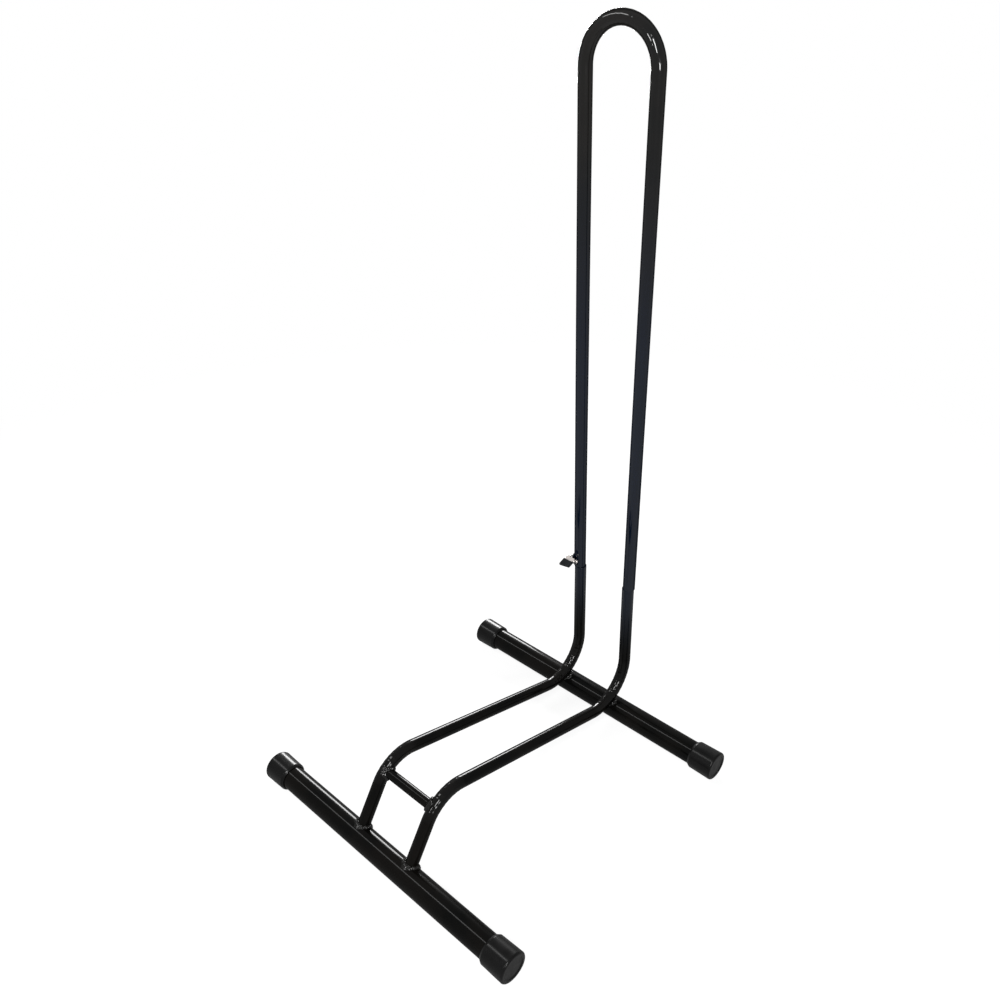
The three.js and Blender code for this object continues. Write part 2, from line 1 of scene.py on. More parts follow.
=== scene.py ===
"""Floor bike rack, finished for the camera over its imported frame.

The rack is bent steel tube: two capped base tubes, a pair of rails that take the tyre between
them, and a tall hoop that plugs onto the rails and is held there by a small cam catch.
Metres, +Z up. The wheel rolls in from -Y and stands in the X = 0 plane. Left is -X.
Every piece stands where its CAD node stands, and rides on that node's body.
"""

import json
import math

import bpy
import numpy as np
from mathutils import Matrix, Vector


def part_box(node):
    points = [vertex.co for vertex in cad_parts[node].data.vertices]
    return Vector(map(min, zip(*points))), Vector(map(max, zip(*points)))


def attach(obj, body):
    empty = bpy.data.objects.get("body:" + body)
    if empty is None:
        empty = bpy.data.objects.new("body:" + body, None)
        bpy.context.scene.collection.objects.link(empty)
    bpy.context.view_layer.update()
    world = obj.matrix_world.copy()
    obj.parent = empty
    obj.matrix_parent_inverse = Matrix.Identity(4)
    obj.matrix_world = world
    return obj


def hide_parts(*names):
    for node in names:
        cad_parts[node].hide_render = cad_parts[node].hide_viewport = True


bl_info = {
    "name": "Floor Bike Rack",
    "version": (1, 0, 0),
    "blender": (4, 5, 0),
    "location": "3D View > Sidebar > Bike Rack",
    "description": "Builds a floor bike rack of bent tube with its caps, welds and cam catch",
    "category": "Add Mesh",
}

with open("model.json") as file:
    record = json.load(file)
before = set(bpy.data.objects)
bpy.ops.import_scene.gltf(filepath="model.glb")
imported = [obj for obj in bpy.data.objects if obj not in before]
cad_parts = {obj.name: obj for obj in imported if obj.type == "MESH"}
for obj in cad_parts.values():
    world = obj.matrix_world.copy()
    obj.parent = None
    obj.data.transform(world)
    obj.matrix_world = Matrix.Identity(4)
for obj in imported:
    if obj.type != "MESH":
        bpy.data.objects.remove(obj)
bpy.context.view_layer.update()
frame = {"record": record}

MM = 0.001
HANDS = {"left": -1.0, "right": 1.0}
X_AXIS = np.array([1.0, 0.0, 0.0])
Z_AXIS = np.array([0.0, 0.0, 1.0])
WHITE = (1.0, 1.0, 1.0, 1.0)
BODY_OF = {
    node: body
    for body, nodes in frame["record"]["behaviour"]["bodies"].items()
    for node in nodes
}

# Smoothness of the surfaces: faces round a tube and a bead, and degrees between rings in a bend.
TUBE_SIDES = 48
BASE_SIDES = 72
BEAD_SIDES = 288
BEND_STEP = 1.0
EDGE_STEPS = 4
# Rings on a tube's straights: how far apart, and how close to a ring of the path at the least.
RING_SPACING = 12 * MM
RING_GAP = 1.5 * MM
# Points round the section of a collar bead, and rows from pole to pole of a saddle bead.
BEAD_POINTS = 28
SADDLE_ROWS = 49
# Ripples round each kind of bead.
POST_RIPPLES = 13
CROSSBAR_RIPPLES = 11
SADDLE_RIPPLES = 13
# Creases sharper than this, in degrees, are rounded on the catch's flat pieces.
CREASE = 32.0
# Room between the cam and the edges of the window in the hoop's leg.
WINDOW_ROOM = 0.4 * MM
# How far the roots of the catch's bracket reach into the wall of the leg.
ROOT_DEPTH = 0.2 * MM


# ---------------------------------------------------------------- sizes and looks


def length(name, description, millimetres, least=0.0):
    """A size in the panel, kept in metres."""
    return bpy.props.FloatProperty(
        name=name, description=description, default=millimetres * MM, min=least, precision=5,
        subtype="DISTANCE", unit="LENGTH",
    )


def angle(name, description, degrees):
    """An angle in the panel, kept in radians."""
    return bpy.props.FloatProperty(
        name=name, description=description, default=math.radians(degrees), subtype="ANGLE",
        unit="ROTATION",
    )


def colour(name, description, default):
    """A linear colour in the panel."""
    return bpy.props.FloatVectorProperty(
        name=name, description=description, default=default, min=0.0, max=1.0, subtype="COLOR",
    )


def share(name, description, default):
    """A value from 0 to 1 in the panel."""
    return bpy.props.FloatProperty(
        name=name, description=description, default=default, min=0.0, max=1.0, subtype="FACTOR",
    )


class TubeSizes(bpy.types.PropertyGroup):
    """Sizes of the tubes and of the lines that they follow."""

    base_diameter: length("Base Tube", "Outside diameter of the two base tubes", 31.0)
    base_wall: length("Base Wall", "Wall of the base tubes", 1.5)
    rail_diameter: length("Rail", "Outside diameter of the rails", 16.0)
    rail_wall: length("Rail Wall", "Wall of the rails", 1.5)
    rail_spacing_front: length("Post Spacing", "Axis to axis of the rails at their posts", 86.0)
    rail_spacing_rear: length("Stub Spacing", "Axis to axis of the rails at their stubs", 81.0)
    post_lean: angle("Post Lean", "Lean of the posts off upright, towards the rear", 31.55)
    post_length: length("Post Length", "Base tube axis to the corner of the front bend", 107.0)
    front_bend: length("Front Bend", "Radius of the rails' front bends, at the tube's axis", 49.0)
    rear_bend: length("Rear Bend", "Radius of the rails' rear bends, at the tube's axis", 55.0)
    saddle_angle: angle("Saddle Angle", "How far ahead of the rear tube's top the rails lie", 25.0)
    leg_lean: angle("Leg Lean", "Lean of stubs and hoop off upright, towards the front", 1.6)
    joint_height: length("Joint Height", "Base tube axis to the plug-in joint", 193.0)
    crossbar_diameter: length("Crossbar", "Outside diameter of the crossbar", 12.7)
    crossbar_wall: length("Crossbar Wall", "Wall of the crossbar", 1.2)
    crossbar_turn: angle("Crossbar Turn", "How far into the front bend the bar meets the rail", 19.5)
    hoop_diameter: length("Hoop", "Outside diameter of the hoop's tube", 16.0)
    hoop_wall: length("Hoop Wall", "Wall of the hoop's tube", 1.2)
    foot_spacing: length("Hoop Feet", "Axis to axis of the hoop's legs at the joint", 83.4)
    top_radius: length("Hoop Top Radius", "Radius of the hoop's round top, at the tube's axis", 46.2)
    hoop_height: length("Hoop Height", "Joint to the top of the hoop, along its legs", 685.0)
    spigot_diameter: length("Spigot", "Outside diameter of the spigots", 11.0)
    spigot_wall: length("Spigot Wall", "Wall of the spigots", 1.5)
    spigot_in_stub: length("Spigot in Stub", "Depth of a spigot in its stub", 45.0)
    spigot_in_hoop: length("Spigot in Hoop", "Depth of a spigot in the hoop", 60.0)
    spigot_lead: length("Spigot Lead-in", "Chamfer on the spigot's upper end", 1.2)
    fit_gap: length("Fit Gap", "Clearance between pieces that meet", 0.3)
    edge: length("Edge", "Rounding of a tube's cut edges", 0.25)
    rail_wrinkle: length("Rail Wrinkles", "Depth of the wrinkles in the rails' bends", 0.18)
    hoop_wrinkle: length("Hoop Wrinkles", "Depth of the wrinkles in the hoop's round top", 0.09)
    wrinkle_pitch: length("Wrinkle Pitch", "From one wrinkle of a bend to the next", 7.0)


class CapSizes(bpy.types.PropertyGroup):
    """Sizes of the caps on the base tubes."""

    cap_length: length("Length", "Mouth to end face", 35.0)
    seam_diameter: length("Seam", "Diameter where the lead-in cone meets the body", 37.0)
    end_diameter: length("End", "Widest diameter, just behind the rim", 38.5)
    lead_in: length("Lead-in", "Length of the cone at the mouth", 3.0)
    lip_wall: length("Lip Wall", "Wall of the cap at its mouth", 0.9)
    end_wall: length("End Wall", "Thickness of the end face", 3.0)
    rim_radius: length("Rim Radius", "Rounding between the body and the end face", 2.4)
    face_border: length("Face Border", "Flat ring between the rim and the sunk disc", 2.2)
    face_inset: length("Face Inset", "Depth of the sunk disc", 0.8)
    edge: length("Edge", "Rounding of the cone's crease and of the disc's edge", 0.4)


class CatchSizes(bpy.types.PropertyGroup):
    """Sizes of the cam catch, measured in its own frame from the pin's axis."""

    height: length("Height", "Joint to pin", 11.2)
    cam_offset: length("Cam Offset", "Middle of the cam from the leg's axis, along the pin", -2.5, -1.0)
    standoff: length("Standoff", "Pin axis to the leg's front", 2.5)
    cam_width: length("Cam Width", "Thickness of the cam", 5.4)
    hub_radius: length("Hub Radius", "Radius of the cam's hub", 2.6)
    ear_thickness: length("Ear Thickness", "Thickness of the bracket's ears", 2.0)
    ear_radius: length("Ear Radius", "Radius of an ear round the pin", 2.4)
    root_top: length("Root Top", "Top of an ear's root, above the pin", 6.6)
    root_bottom: length("Root Bottom", "Bottom of an ear's root, below the pin", 6.0)
    web_front: length("Web Front", "Front face of the web, behind the pin", 0.4)
    pin_diameter: length("Pin", "Diameter of the pin", 2.4)
    head_diameter: length("Pin Head", "Diameter of the pin's heads", 4.4)
    head_thickness: length("Head Thickness", "Thickness of the pin's heads", 1.0)
    plate_thickness: length("Plate", "Thickness of the lever's sheet", 1.6)
    plate_top: length("Plate Top", "Top of the thumb plate, above the pin", 4.3)
    plate_width: length("Plate Width", "Width of the thumb plate", 15.6)
    plate_offset: length("Plate Offset", "Middle of the thumb plate from the leg's axis", -4.8, -1.0)
    plate_reach: length("Plate Reach", "Pin to the bend line", 7.5)
    plate_rear: length("Plate Rear", "Pin to the plate's rear edge, in front of the leg", 1.0)
    heel: length("Heel", "How far the plate runs back past the pin, beside the leg", 4.5)
    shoulder: length("Shoulder", "The same at the plate's outboard corner", 0.7)
    corner: length("Corner", "Rounding of the plate's outboard corner", 2.2)
    tongue_inset: length("Tongue Inset", "How much narrower the tongue is on each side", 1.3)
    tongue_length: length("Tongue Length", "Length of the tongue inside the grip", 8.0)
    grip_start: length("Grip Start", "Bend line to the grip's mouth", 1.0)
    grip_length: length("Grip Length", "Bend line to the grip's outboard end", 12.5)
    grip_skew: length("Grip Skew", "How much shorter the grip is inboard", 2.0)
    grip_thickness: length("Grip Thickness", "Thickness of the grip", 3.8)
    grip_corner: length("Grip Corner", "Rounding of the grip's corners", 1.3)
    droop: angle("Droop", "Fall of the grip below the plate", 19.0)


class WeldSizes(bpy.types.PropertyGroup):
    """Sizes of the weld beads."""

    post_bead: length("Post Bead", "Radius of the beads round the posts", 2.6)
    crossbar_bead: length("Crossbar Bead", "Radius of the beads round the crossbar", 1.9)
    lift: length("Lift", "Bead centre off both of the surfaces that it joins", 0.7)
    saddle_across: length("Saddle Across", "Half width of a saddle bead", 9.6)
    saddle_along: length("Saddle Along", "Half length of a saddle bead", 9.2)
    saddle_thick: length("Saddle Thick", "Half thickness of a saddle bead", 3.4)
    ripple: share("Ripple", "Depth of the ripples, as a share of a bead's radius", 0.3)


class Finishes(bpy.types.PropertyGroup):
    """Colours and gloss of the finishes."""

    coat: colour("Coat", "Colour of the gloss coat", (0.0008, 0.0009, 0.0009))
    coat_warm: colour("Coat, Warm", "Colour of the coat where it is thicker", (0.0024, 0.0021, 0.0018))
    # Painted reflection: the bluish tint that the coat takes by height up the stubs and legs, for the
    # surroundings reflected there.
    coat_painted_reflection: colour("Coat, Cool", "Colour of the coat on stubs and legs", (0.0012, 0.0026, 0.0062))
    coat_gloss: share("Coat Gloss", "Strength of the coat's gloss on the base and rails", 0.075)
    hoop_gloss: share("Hoop Gloss", "Strength of the coat's gloss on the hoop", 0.38)
    weld_gloss: share("Weld Gloss", "Strength of the coat's gloss on the welds", 0.32)
    coat_roughness: share("Coat Roughness", "Roughness of the gloss coat", 0.06)
    cap: colour("Cap", "Colour of the moulded caps", (0.0015, 0.0015, 0.0015))
    cap_gloss: share("Cap Gloss", "Strength of the caps' gloss", 0.13)
    cap_roughness: share("Cap Roughness", "Roughness of the caps", 0.2)
    grip: colour("Grip", "Colour of the catch's grip", (0.004, 0.0046, 0.0052))
    zinc: colour("Zinc", "Colour of the plated pieces", (0.64, 0.59, 0.56))


class StageLook(bpy.types.PropertyGroup):
    """The floor, the surroundings and the level of the light."""

    floor: colour("Floor", "Colour of the floor", (0.9, 0.9, 0.9))
    floor_white: share("Floor White", "How far the floor near the rack turns to plain white", 0.86)
    ambient: share("Ambient", "Level of the light from all round", 0.12)
    strip_glow: bpy.props.FloatProperty(
        name="Strip Glow",
        description="Brightness of a lamp's face, times the lamp's own share, where 1 is white",
        default=66.0,
        min=0.0,
    )


# ---------------------------------------------------------------- meshes from grids


def grid_faces(rows, columns, closed_rows):
    """Corner numbers of the quads of a grid whose columns close on themselves.

    Quad (i, j) joins points (i, j), (i, j + 1), (i + 1, j + 1) and (i + 1, j), with j counted round
    and, where the rows close too, i counted round as well.
    """
    spans = rows if closed_rows else rows - 1
    i, j = np.meshgrid(np.arange(spans), np.arange(columns), indexing="ij")
    next_i = (i + 1) % rows
    next_j = (j + 1) % columns
    corners = (i * columns + j, i * columns + next_j, next_i * columns + next_j, next_i * columns + j)
    return np.stack(corners, axis=-1).reshape(-1, 4)


def grid_map(along, around):
    """Map corners of the same quads: distance along the piece and distance round it, in metres.

    `along` has one value for each row and one more where the rows close, and `around` has one value
    for each column and one more.
    """
    low_s, low_t = np.meshgrid(along[:-1], around[:-1], indexing="ij")
    high_s, high_t = np.meshgrid(along[1:], around[1:], indexing="ij")
    corners = ((low_s, low_t), (low_s, high_t), (high_s, high_t), (high_s, low_t))
    return np.stack([np.stack(pair, axis=-1) for pair in corners], axis=-2).reshape(-1, 2)


def pole_faces(ring, pole, at_start):
    """Triangles between a ring of point numbers and one pole point."""
    after = np.roll(ring, -1)
    tip = np.full(len(ring), pole)
    order = (tip, after, ring) if at_start else (ring, after, tip)
    return np.stack(order, axis=-1)


def faces_with_poles(rows, columns):
    """Quads of a stack of rings and triangles to its two poles, whose points follow the rings'."""
    ring = np.arange(columns)
    count = rows * columns
    first = pole_faces(ring, count, True)
    last = pole_faces(count - columns + ring, count + 1, False)
    return grid_faces(rows, columns, closed_rows=False), np.concatenate([first, last])


def make_piece(
    node, finish, points, quads, triangles=None, polygons=(), surface_map=None, bend=None,
):
    """Makes the finished piece of a CAD node from points and faces and stands it in for the node.

    `surface_map` has one (s, t) pair for each corner of each quad, and `bend` one number for each
    point, both for the finish to read.
    """
    mesh = bpy.data.meshes.new(f"{node}_finished")
    groups = [quads] if triangles is None else [quads, triangles]
    groups.extend(polygon.reshape(1, -1) for polygon in polygons)
    corners = np.concatenate([group.ravel() for group in groups]).astype(np.int32)
    sizes = np.concatenate([np.full(len(group), group.shape[1]) for group in groups])
    starts = np.concatenate([[0], np.cumsum(sizes)[:-1]]).astype(np.int32)
    mesh.vertices.add(len(points))
    mesh.vertices.foreach_set("co", points.astype(np.float32).ravel())
    mesh.loops.add(len(corners))
    mesh.loops.foreach_set("vertex_index", corners)
    mesh.polygons.add(len(starts))
    mesh.polygons.foreach_set("loop_start", starts)
    mesh.update(calc_edges=True)
    if surface_map is not None:
        layer = mesh.uv_layers.new(name="surface_map")
        layer.data.foreach_set("uv", surface_map.astype(np.float32).ravel())
    if bend is not None:
        attribute = mesh.attributes.new("bend", "FLOAT", "POINT")
        attribute.data.foreach_set("value", bend.astype(np.float32))
    if mesh.validate(verbose=False):
        raise RuntimeError(f"the mesh of {node} needed mending")
    mesh.shade_smooth()
    mesh.materials.append(finish)
    piece = bpy.data.objects.new(f"{node}_finished", mesh)
    bpy.context.scene.collection.objects.link(piece)
    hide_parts(node)
    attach(piece, BODY_OF[node])
    return piece


def soften_edges(piece, width, segments=3):
    """Rounds the creases of a piece that is made of flat faces."""
    bevel = piece.modifiers.new("Soft Edges", "BEVEL")
    bevel.width = width
    bevel.segments = segments
    bevel.limit_method = "ANGLE"
    bevel.angle_limit = math.radians(CREASE)
    bevel.harden_normals = True


# ---------------------------------------------------------------- paths and tubes


def node_middle(node):
    """The middle of a CAD node's box."""
    low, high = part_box(node)
    return (np.array(low) + np.array(high)) / 2


def unit(vectors):
    """Vectors scaled to length 1."""
    return vectors / np.linalg.norm(vectors, axis=-1, keepdims=True)


def distances(points):
    """Distance from the first point to each of them, along the lines between neighbours."""
    steps = np.linalg.norm(np.diff(points, axis=0), axis=1)
    return np.concatenate([[0.0], np.cumsum(steps)])


def bent_path(corners, radii):
    """Distances, points, headings and bend shares along straight lines with an arc at each corner.

    An arc of radius R that turns from heading a towards direction n passes, at turn t, through
    start + R sin(t) a + R (1 - cos(t)) n with heading cos(t) a + sin(t) n. The bend share is 1 in
    an arc and falls to 0 on the straights beside it.
    """
    corners = np.asarray(corners, dtype=float)
    headings = unit(np.diff(corners, axis=0))
    points = [corners[:1]]
    directions = [headings[:1]]
    bends = [np.zeros(1)]
    for corner, into, out, radius in zip(corners[1:-1], headings[:-1], headings[1:], radii):
        turn = math.acos(np.clip(into @ out, -1.0, 1.0))
        inward = unit(out - into * (into @ out))
        start = corner - into * radius * math.tan(turn / 2)
        steps = max(2, round(math.degrees(turn) / BEND_STEP))
        at = np.linspace(0.0, turn, steps + 1)[:, None]
        points.append(start + radius * (np.sin(at) * into + (1 - np.cos(at)) * inward))
        directions.append(np.cos(at) * into + np.sin(at) * inward)
        bends.append(np.sin(np.linspace(0.0, math.pi, steps + 1)) ** 0.5)
    points.append(corners[-1:])
    directions.append(headings[-1:])
    bends.append(np.zeros(1))
    points = np.concatenate(points)
    return distances(points), points, np.concatenate(directions), np.concatenate(bends)


def along_path(path, distance):
    """Points, headings and bend shares at any distances along a path, straight between its rings."""
    known, points, headings, bends = path
    at = np.stack([np.interp(distance, known, points[:, k]) for k in range(3)], axis=-1)
    to = np.stack([np.interp(distance, known, headings[:, k]) for k in range(3)], axis=-1)
    return at, unit(to), np.interp(distance, known, bends)


def ring_stations(path, clear):
    """The path's own rings and more along its straights, between two distances from its ends.

    The first and last of them stand close to the ends, so that the rounding of the cut edges stays
    out of the shading of the long wall.
    """
    known = path[0]
    count = max(2, round(known[-1] / RING_SPACING))
    even = np.linspace(clear[0], known[-1] - clear[1], count)
    apart = np.abs(even[:, None] - known[None, 1:-1]).min(axis=1, initial=1.0)
    return np.union1d(known, even[apart > RING_GAP])


def wall_outline(stations, total, radius, bore, edge, lead=0.0):
    """Distance and radius of the rings round a tube's wall: out along the outside, back along the bore.

    At each cut end the four corners of the wall are quarter circles of radius `edge`, and `lead` is
    the length of a chamfer on the outside of the far end.
    """
    turn = np.linspace(0.0, math.pi / 2, EDGE_STEPS)
    out_from, out_by = edge * (1 - np.sin(turn)), edge * (1 - np.cos(turn))
    inner = stations[(stations > 2 * edge) & (stations < total - 2 * edge - lead)]
    far_outside = np.array([total - edge - lead]) if lead else np.empty(0)
    distance = np.concatenate([
        out_from[::-1],
        inner,
        far_outside,
        total - out_from,
        total - out_from[::-1],
        inner[::-1],
        out_from,
    ])
    narrowed = radius - lead * 0.5 if lead else radius
    radii = np.concatenate([
        radius - out_by[::-1],
        np.full(len(inner), radius),
        np.full(len(far_outside), radius),
        narrowed - out_by,
        bore + out_by[::-1],
        np.full(len(inner), bore),
        bore + out_by,
    ])
    return distance, radii


def tube_grid(path, distance, radii, reference, wrinkle, pitch):
    """Points of a tube, a circle carried along a path, and the bend share at each.

    Point (i, j) lies at C(d) + r (cos(a) u + sin(a) v), with C the path at the point's distance d,
    u the reference direction made square to the heading, v the heading's cross product with u,
    and a the j-th step of a full turn. In the bends r shrinks by waves along the tube,
    wrinkle (1 + sin(2 pi d / pitch + w)) / 2, where w makes them a little uneven.
    """
    turn = np.linspace(0.0, 2 * math.pi, distance.shape[1], endpoint=False)
    centre, heading, bend = along_path(path, distance)
    u = unit(reference - heading * (heading @ reference)[..., None])
    v = np.cross(heading, u)
    spread = np.cos(turn)[None, :, None] * u + np.sin(turn)[None, :, None] * v
    uneven = 0.9 * np.sin(1.7 * distance / pitch) + 0.7 * np.sin(2 * turn + 0.5)
    shrink = wrinkle * bend * (1 + np.sin(2 * math.pi * distance / pitch + uneven)) / 2
    points = centre + (radii[:, None] - shrink)[..., None] * spread
    return points.reshape(-1, 3), bend.ravel()


def tube_piece(
    node, finish, path, radius, wall, edge, reference, sides=TUBE_SIDES, hosts=(0.0, 0.0), lead=0.0,
    window=None, wrinkle=0.0, pitch=MM,
):
    """Makes a hollow tube along a path, with rounded cut edges.

    `hosts` has for each end the radius of the tube that it is cut to, or 0. At turn t of a ring of
    radius r, the tube starts sqrt(host^2 - (r sin t)^2) from the end of the path. `window` is
    (lower distance, upper distance, first column, last column) of an opening in the wall, whose
    sides run straight from the outside to the bore. `wrinkle` and `pitch` are the depth and spacing
    of the waves in the bends.
    """
    total = path[0][-1]
    stations = ring_stations(path, [host + MM for host in hosts])
    distance, radii = wall_outline(stations, total, radius, radius - wall, edge, lead)
    turn = np.linspace(0.0, 2 * math.pi, sides, endpoint=False)
    aside = radii[:, None] * np.sin(turn)
    start, end = (np.sqrt(np.maximum(host**2 - aside**2, 0.0)) for host in hosts)
    each = np.clip(distance[:, None], start, total - end)
    points, bend = tube_grid(path, each, radii, reference, wrinkle, pitch)
    quads = grid_faces(len(radii), sides, closed_rows=True)
    around = np.linspace(0.0, 2 * math.pi * radius, sides + 1)
    flat = grid_map(np.append(distance, distance[0]), around)
    if window is not None:
        quads, flat = open_window(quads, flat, distance, radii, sides, radius, window)
        used, numbers = np.unique(quads, return_inverse=True)
        points, bend, quads = points[used], bend[used], numbers.reshape(-1, 4)
    return make_piece(node, finish, points, quads, surface_map=flat, bend=bend)


def open_window(quads, flat, distance, radii, sides, radius, window):
    """Leaves out the quads of a window in both walls of a tube and closes the window's four sides.

    The window lies between two distances along the tube and two of its columns. Both walls have a
    ring at each of the two distances, so the sides join the same columns of those rings.
    """
    low, high, first, last = window
    outside = np.flatnonzero(radii >= radius - 1e-9)
    inside = np.flatnonzero((radii < radius - 1e-9) & np.isin(distance, distance[outside]))
    row = np.arange(len(quads)) // sides
    column = np.arange(len(quads)) % sides
    middle = (distance[row] + distance[(row + 1) % len(radii)]) / 2
    in_columns = ((column - first) % sides) < ((last - first) % sides)
    kept = ~((middle > low) & (middle < high) & in_columns)
    out_low, out_high = [outside[np.argmin(abs(distance[outside] - d))] for d in (low, high)]
    in_low, in_high = [inside[np.argmin(abs(distance[inside] - d))] for d in (low, high)]
    across = (first + np.arange((last - first) % sides + 1)) % sides
    out_rows = np.arange(out_low, out_high + 1)
    in_rows = np.arange(in_low, in_high - 1, -1)
    strips = []
    for outer, inner, forward in (
        (out_low * sides + across, in_low * sides + across, True),
        (out_high * sides + across, in_high * sides + across, False),
        (out_rows * sides + first, in_rows * sides + first, False),
        (out_rows * sides + last, in_rows * sides + last, True),
    ):
        strip = np.stack([outer[:-1], outer[1:], inner[1:], inner[:-1]], axis=-1)
        strips.append(strip if forward else strip[:, ::-1])
    reveal = np.concatenate(strips)
    kept_flat = flat.reshape(-1, 4, 2)[kept]
    flat = np.concatenate([kept_flat, np.zeros((len(reveal), 4, 2))])
    return np.concatenate([quads[kept], reveal]), flat.reshape(-1, 2)


# ---------------------------------------------------------------- the frame's lines


def crossing(p, d, q, e):
    """Where the line from p along d meets the line from q along e, all in the side view."""
    across = d[0] * e[1] - d[1] * e[0]
    along = ((q[0] - p[0]) * e[1] - (q[1] - p[1]) * e[0]) / across
    return p + d * along


class RackLines:
    """The rack's lines in the side view, as (y, z) pairs, worked out from the tube sizes.

    The rear bend lies on the rear base tube, the run is the line from the front corner that
    touches the underside of that bend, and the stub leaves the bend at its rearmost side.
    """

    def __init__(self, sizes):
        self.front_axis = node_middle("front_base_tube")[1:]
        self.rear_axis = node_middle("rear_base_tube")[1:]
        base = sizes.base_diameter / 2
        rail = sizes.rail_diameter / 2
        lean = sizes.leg_lean
        self.post = np.array([math.sin(sizes.post_lean), math.cos(sizes.post_lean)])
        self.front_corner = self.front_axis + self.post * sizes.post_length
        self.saddle_normal = np.array([-math.sin(sizes.saddle_angle), math.cos(sizes.saddle_angle)])
        reach = base + sizes.fit_gap + rail + sizes.rear_bend
        self.rear_centre = self.rear_axis + self.saddle_normal * reach
        to_centre = self.rear_centre - self.front_corner
        slope = math.atan2(to_centre[1], to_centre[0])
        slope -= math.asin(sizes.rear_bend / np.linalg.norm(to_centre))
        self.run = np.array([math.cos(slope), math.sin(slope)])
        self.leg = np.array([-math.sin(lean), math.cos(lean)])
        leg_normal = np.array([math.cos(lean), math.sin(lean)])
        leg_start = self.rear_centre + leg_normal * sizes.rear_bend
        self.rear_corner = crossing(self.front_corner, self.run, leg_start, self.leg)
        rise = sizes.joint_height - (leg_start[1] - self.front_axis[1])
        self.joint = leg_start + self.leg * (rise / math.cos(lean))
        turn = math.acos(self.post @ self.run)
        post_end = sizes.post_length - sizes.front_bend * math.tan(turn / 2)
        cos, sin = math.cos(sizes.crossbar_turn), math.sin(sizes.crossbar_turn)
        into, aside = sizes.front_bend * sin, sizes.front_bend * (1 - cos)
        normal = np.array([self.post[1], -self.post[0]])
        self.crossbar = self.front_axis + self.post * (post_end + into) + normal * aside
        self.crossbar_heading = self.post * cos + normal * sin


def rail_path(sizes, hand):
    """The path of one rail's axis: post, front bend, run, rear bend and stub."""
    lines = RackLines(sizes)
    front = hand * sizes.rail_spacing_front / 2
    rear = hand * sizes.rail_spacing_rear / 2
    corners = [
        (front, *lines.front_axis),
        (front, *lines.front_corner),
        (rear, *lines.rear_corner),
        (rear, *lines.joint),
    ]
    return bent_path(corners, (sizes.front_bend, sizes.rear_bend))


def placed(points, origin, axes):
    """Points moved from a frame with that origin and those axes, one axis a row."""
    return np.asarray(origin) + np.asarray(points) @ np.asarray(axes)


def leaning_axes(lean):
    """Axes turned about X, so that Z leans towards -Y."""
    cos, sin = math.cos(lean), math.sin(lean)
    return np.array([[1.0, 0.0, 0.0], [0.0, cos, sin], [0.0, -sin, cos]])


class HoopFrame:
    """The hoop's own frame: origin midway between the joints, Z up the hoop's plane, Y to its rear."""

    def __init__(self, sizes):
        lines = RackLines(sizes)
        self.origin = np.array([0.0, *lines.joint])
        self.axes = leaning_axes(sizes.leg_lean)
        self.centre = sizes.hoop_height - sizes.top_radius - sizes.hoop_diameter / 2
        half = sizes.foot_spacing / 2
        self.tilt = math.asin(sizes.top_radius / math.hypot(half, self.centre))
        self.tilt -= math.atan2(half, self.centre)

    def leg(self, hand, spacing):
        """Origin and axes of one leg: its origin at the joint, Z up along the leg."""
        cos, sin = math.cos(self.tilt), hand * math.sin(self.tilt)
        turned = np.array([[cos, 0.0, -sin], [0.0, 1.0, 0.0], [sin, 0.0, cos]])
        origin = placed((hand * spacing / 2, 0.0, 0.0), self.origin, self.axes)
        return origin, turned @ self.axes


def hoop_path(sizes, breaks):
    """The hoop's axis from its left foot over the round top to its right foot.

    The legs are straight, and the top is the arc that they touch. `breaks` are further distances
    along the left leg that need a ring.
    """
    hoop = HoopFrame(sizes)
    steps = round(math.degrees(math.pi + 2 * hoop.tilt) / BEND_STEP)
    turn = np.linspace(math.pi + hoop.tilt, -hoop.tilt, steps + 1)
    cos, flat, sin = np.cos(turn), np.zeros_like(turn), np.sin(turn)
    top = np.stack([cos, flat, sin], axis=-1) * sizes.top_radius + hoop.centre * Z_AXIS
    top_heading = np.stack([sin, flat, -cos], axis=-1)
    up = np.array([math.sin(hoop.tilt), 0.0, math.cos(hoop.tilt)])
    foot = X_AXIS * sizes.foot_spacing / 2 + up * sizes.fit_gap
    left_foot, left_up = foot * (-1.0, 1.0, 1.0), up * (-1.0, 1.0, 1.0)
    extra = left_foot + np.asarray(breaks)[:, None] * left_up
    points = np.concatenate([[left_foot], extra, top, [foot]])
    headings = np.concatenate([[left_up], np.repeat([left_up], len(extra), 0), top_heading, [-up]])
    in_top = np.sin(np.linspace(0.0, math.pi, len(top))) ** 0.5
    bends = np.concatenate([np.zeros(1 + len(extra)), in_top, np.zeros(1)])
    world = placed(points, hoop.origin, hoop.axes)
    return distances(points), world, headings @ hoop.axes, bends


# ---------------------------------------------------------------- beads


def ripples(turn, along, count, depth):
    """Growth of a bead's radius by its ripples: overlapping scales, lumps and slow waves.

    1 + depth (1 - |sin(n t / 2 + w)| + lumps + slow waves), where t is the turn round the joint,
    a the turn across the bead, w = 0.7 sin(a) bends each scale, the lumps are
    0.22 sin((2 n + 1) t + 2 a) sin(4 a + 0.6) and the waves 0.35 sin(3 t + 0.8) + 0.25 sin(5 t + 2.1).
    """
    scales = 1 - np.abs(np.sin(count * turn / 2 + 0.7 * np.sin(along)))
    lumps = 0.22 * np.sin((2 * count + 1) * turn + 2 * along) * np.sin(4 * along + 0.6)
    slow = 0.35 * np.sin(3 * turn + 0.8) + 0.25 * np.sin(5 * turn + 2.1)
    return 1 + depth * (scales + lumps + slow)


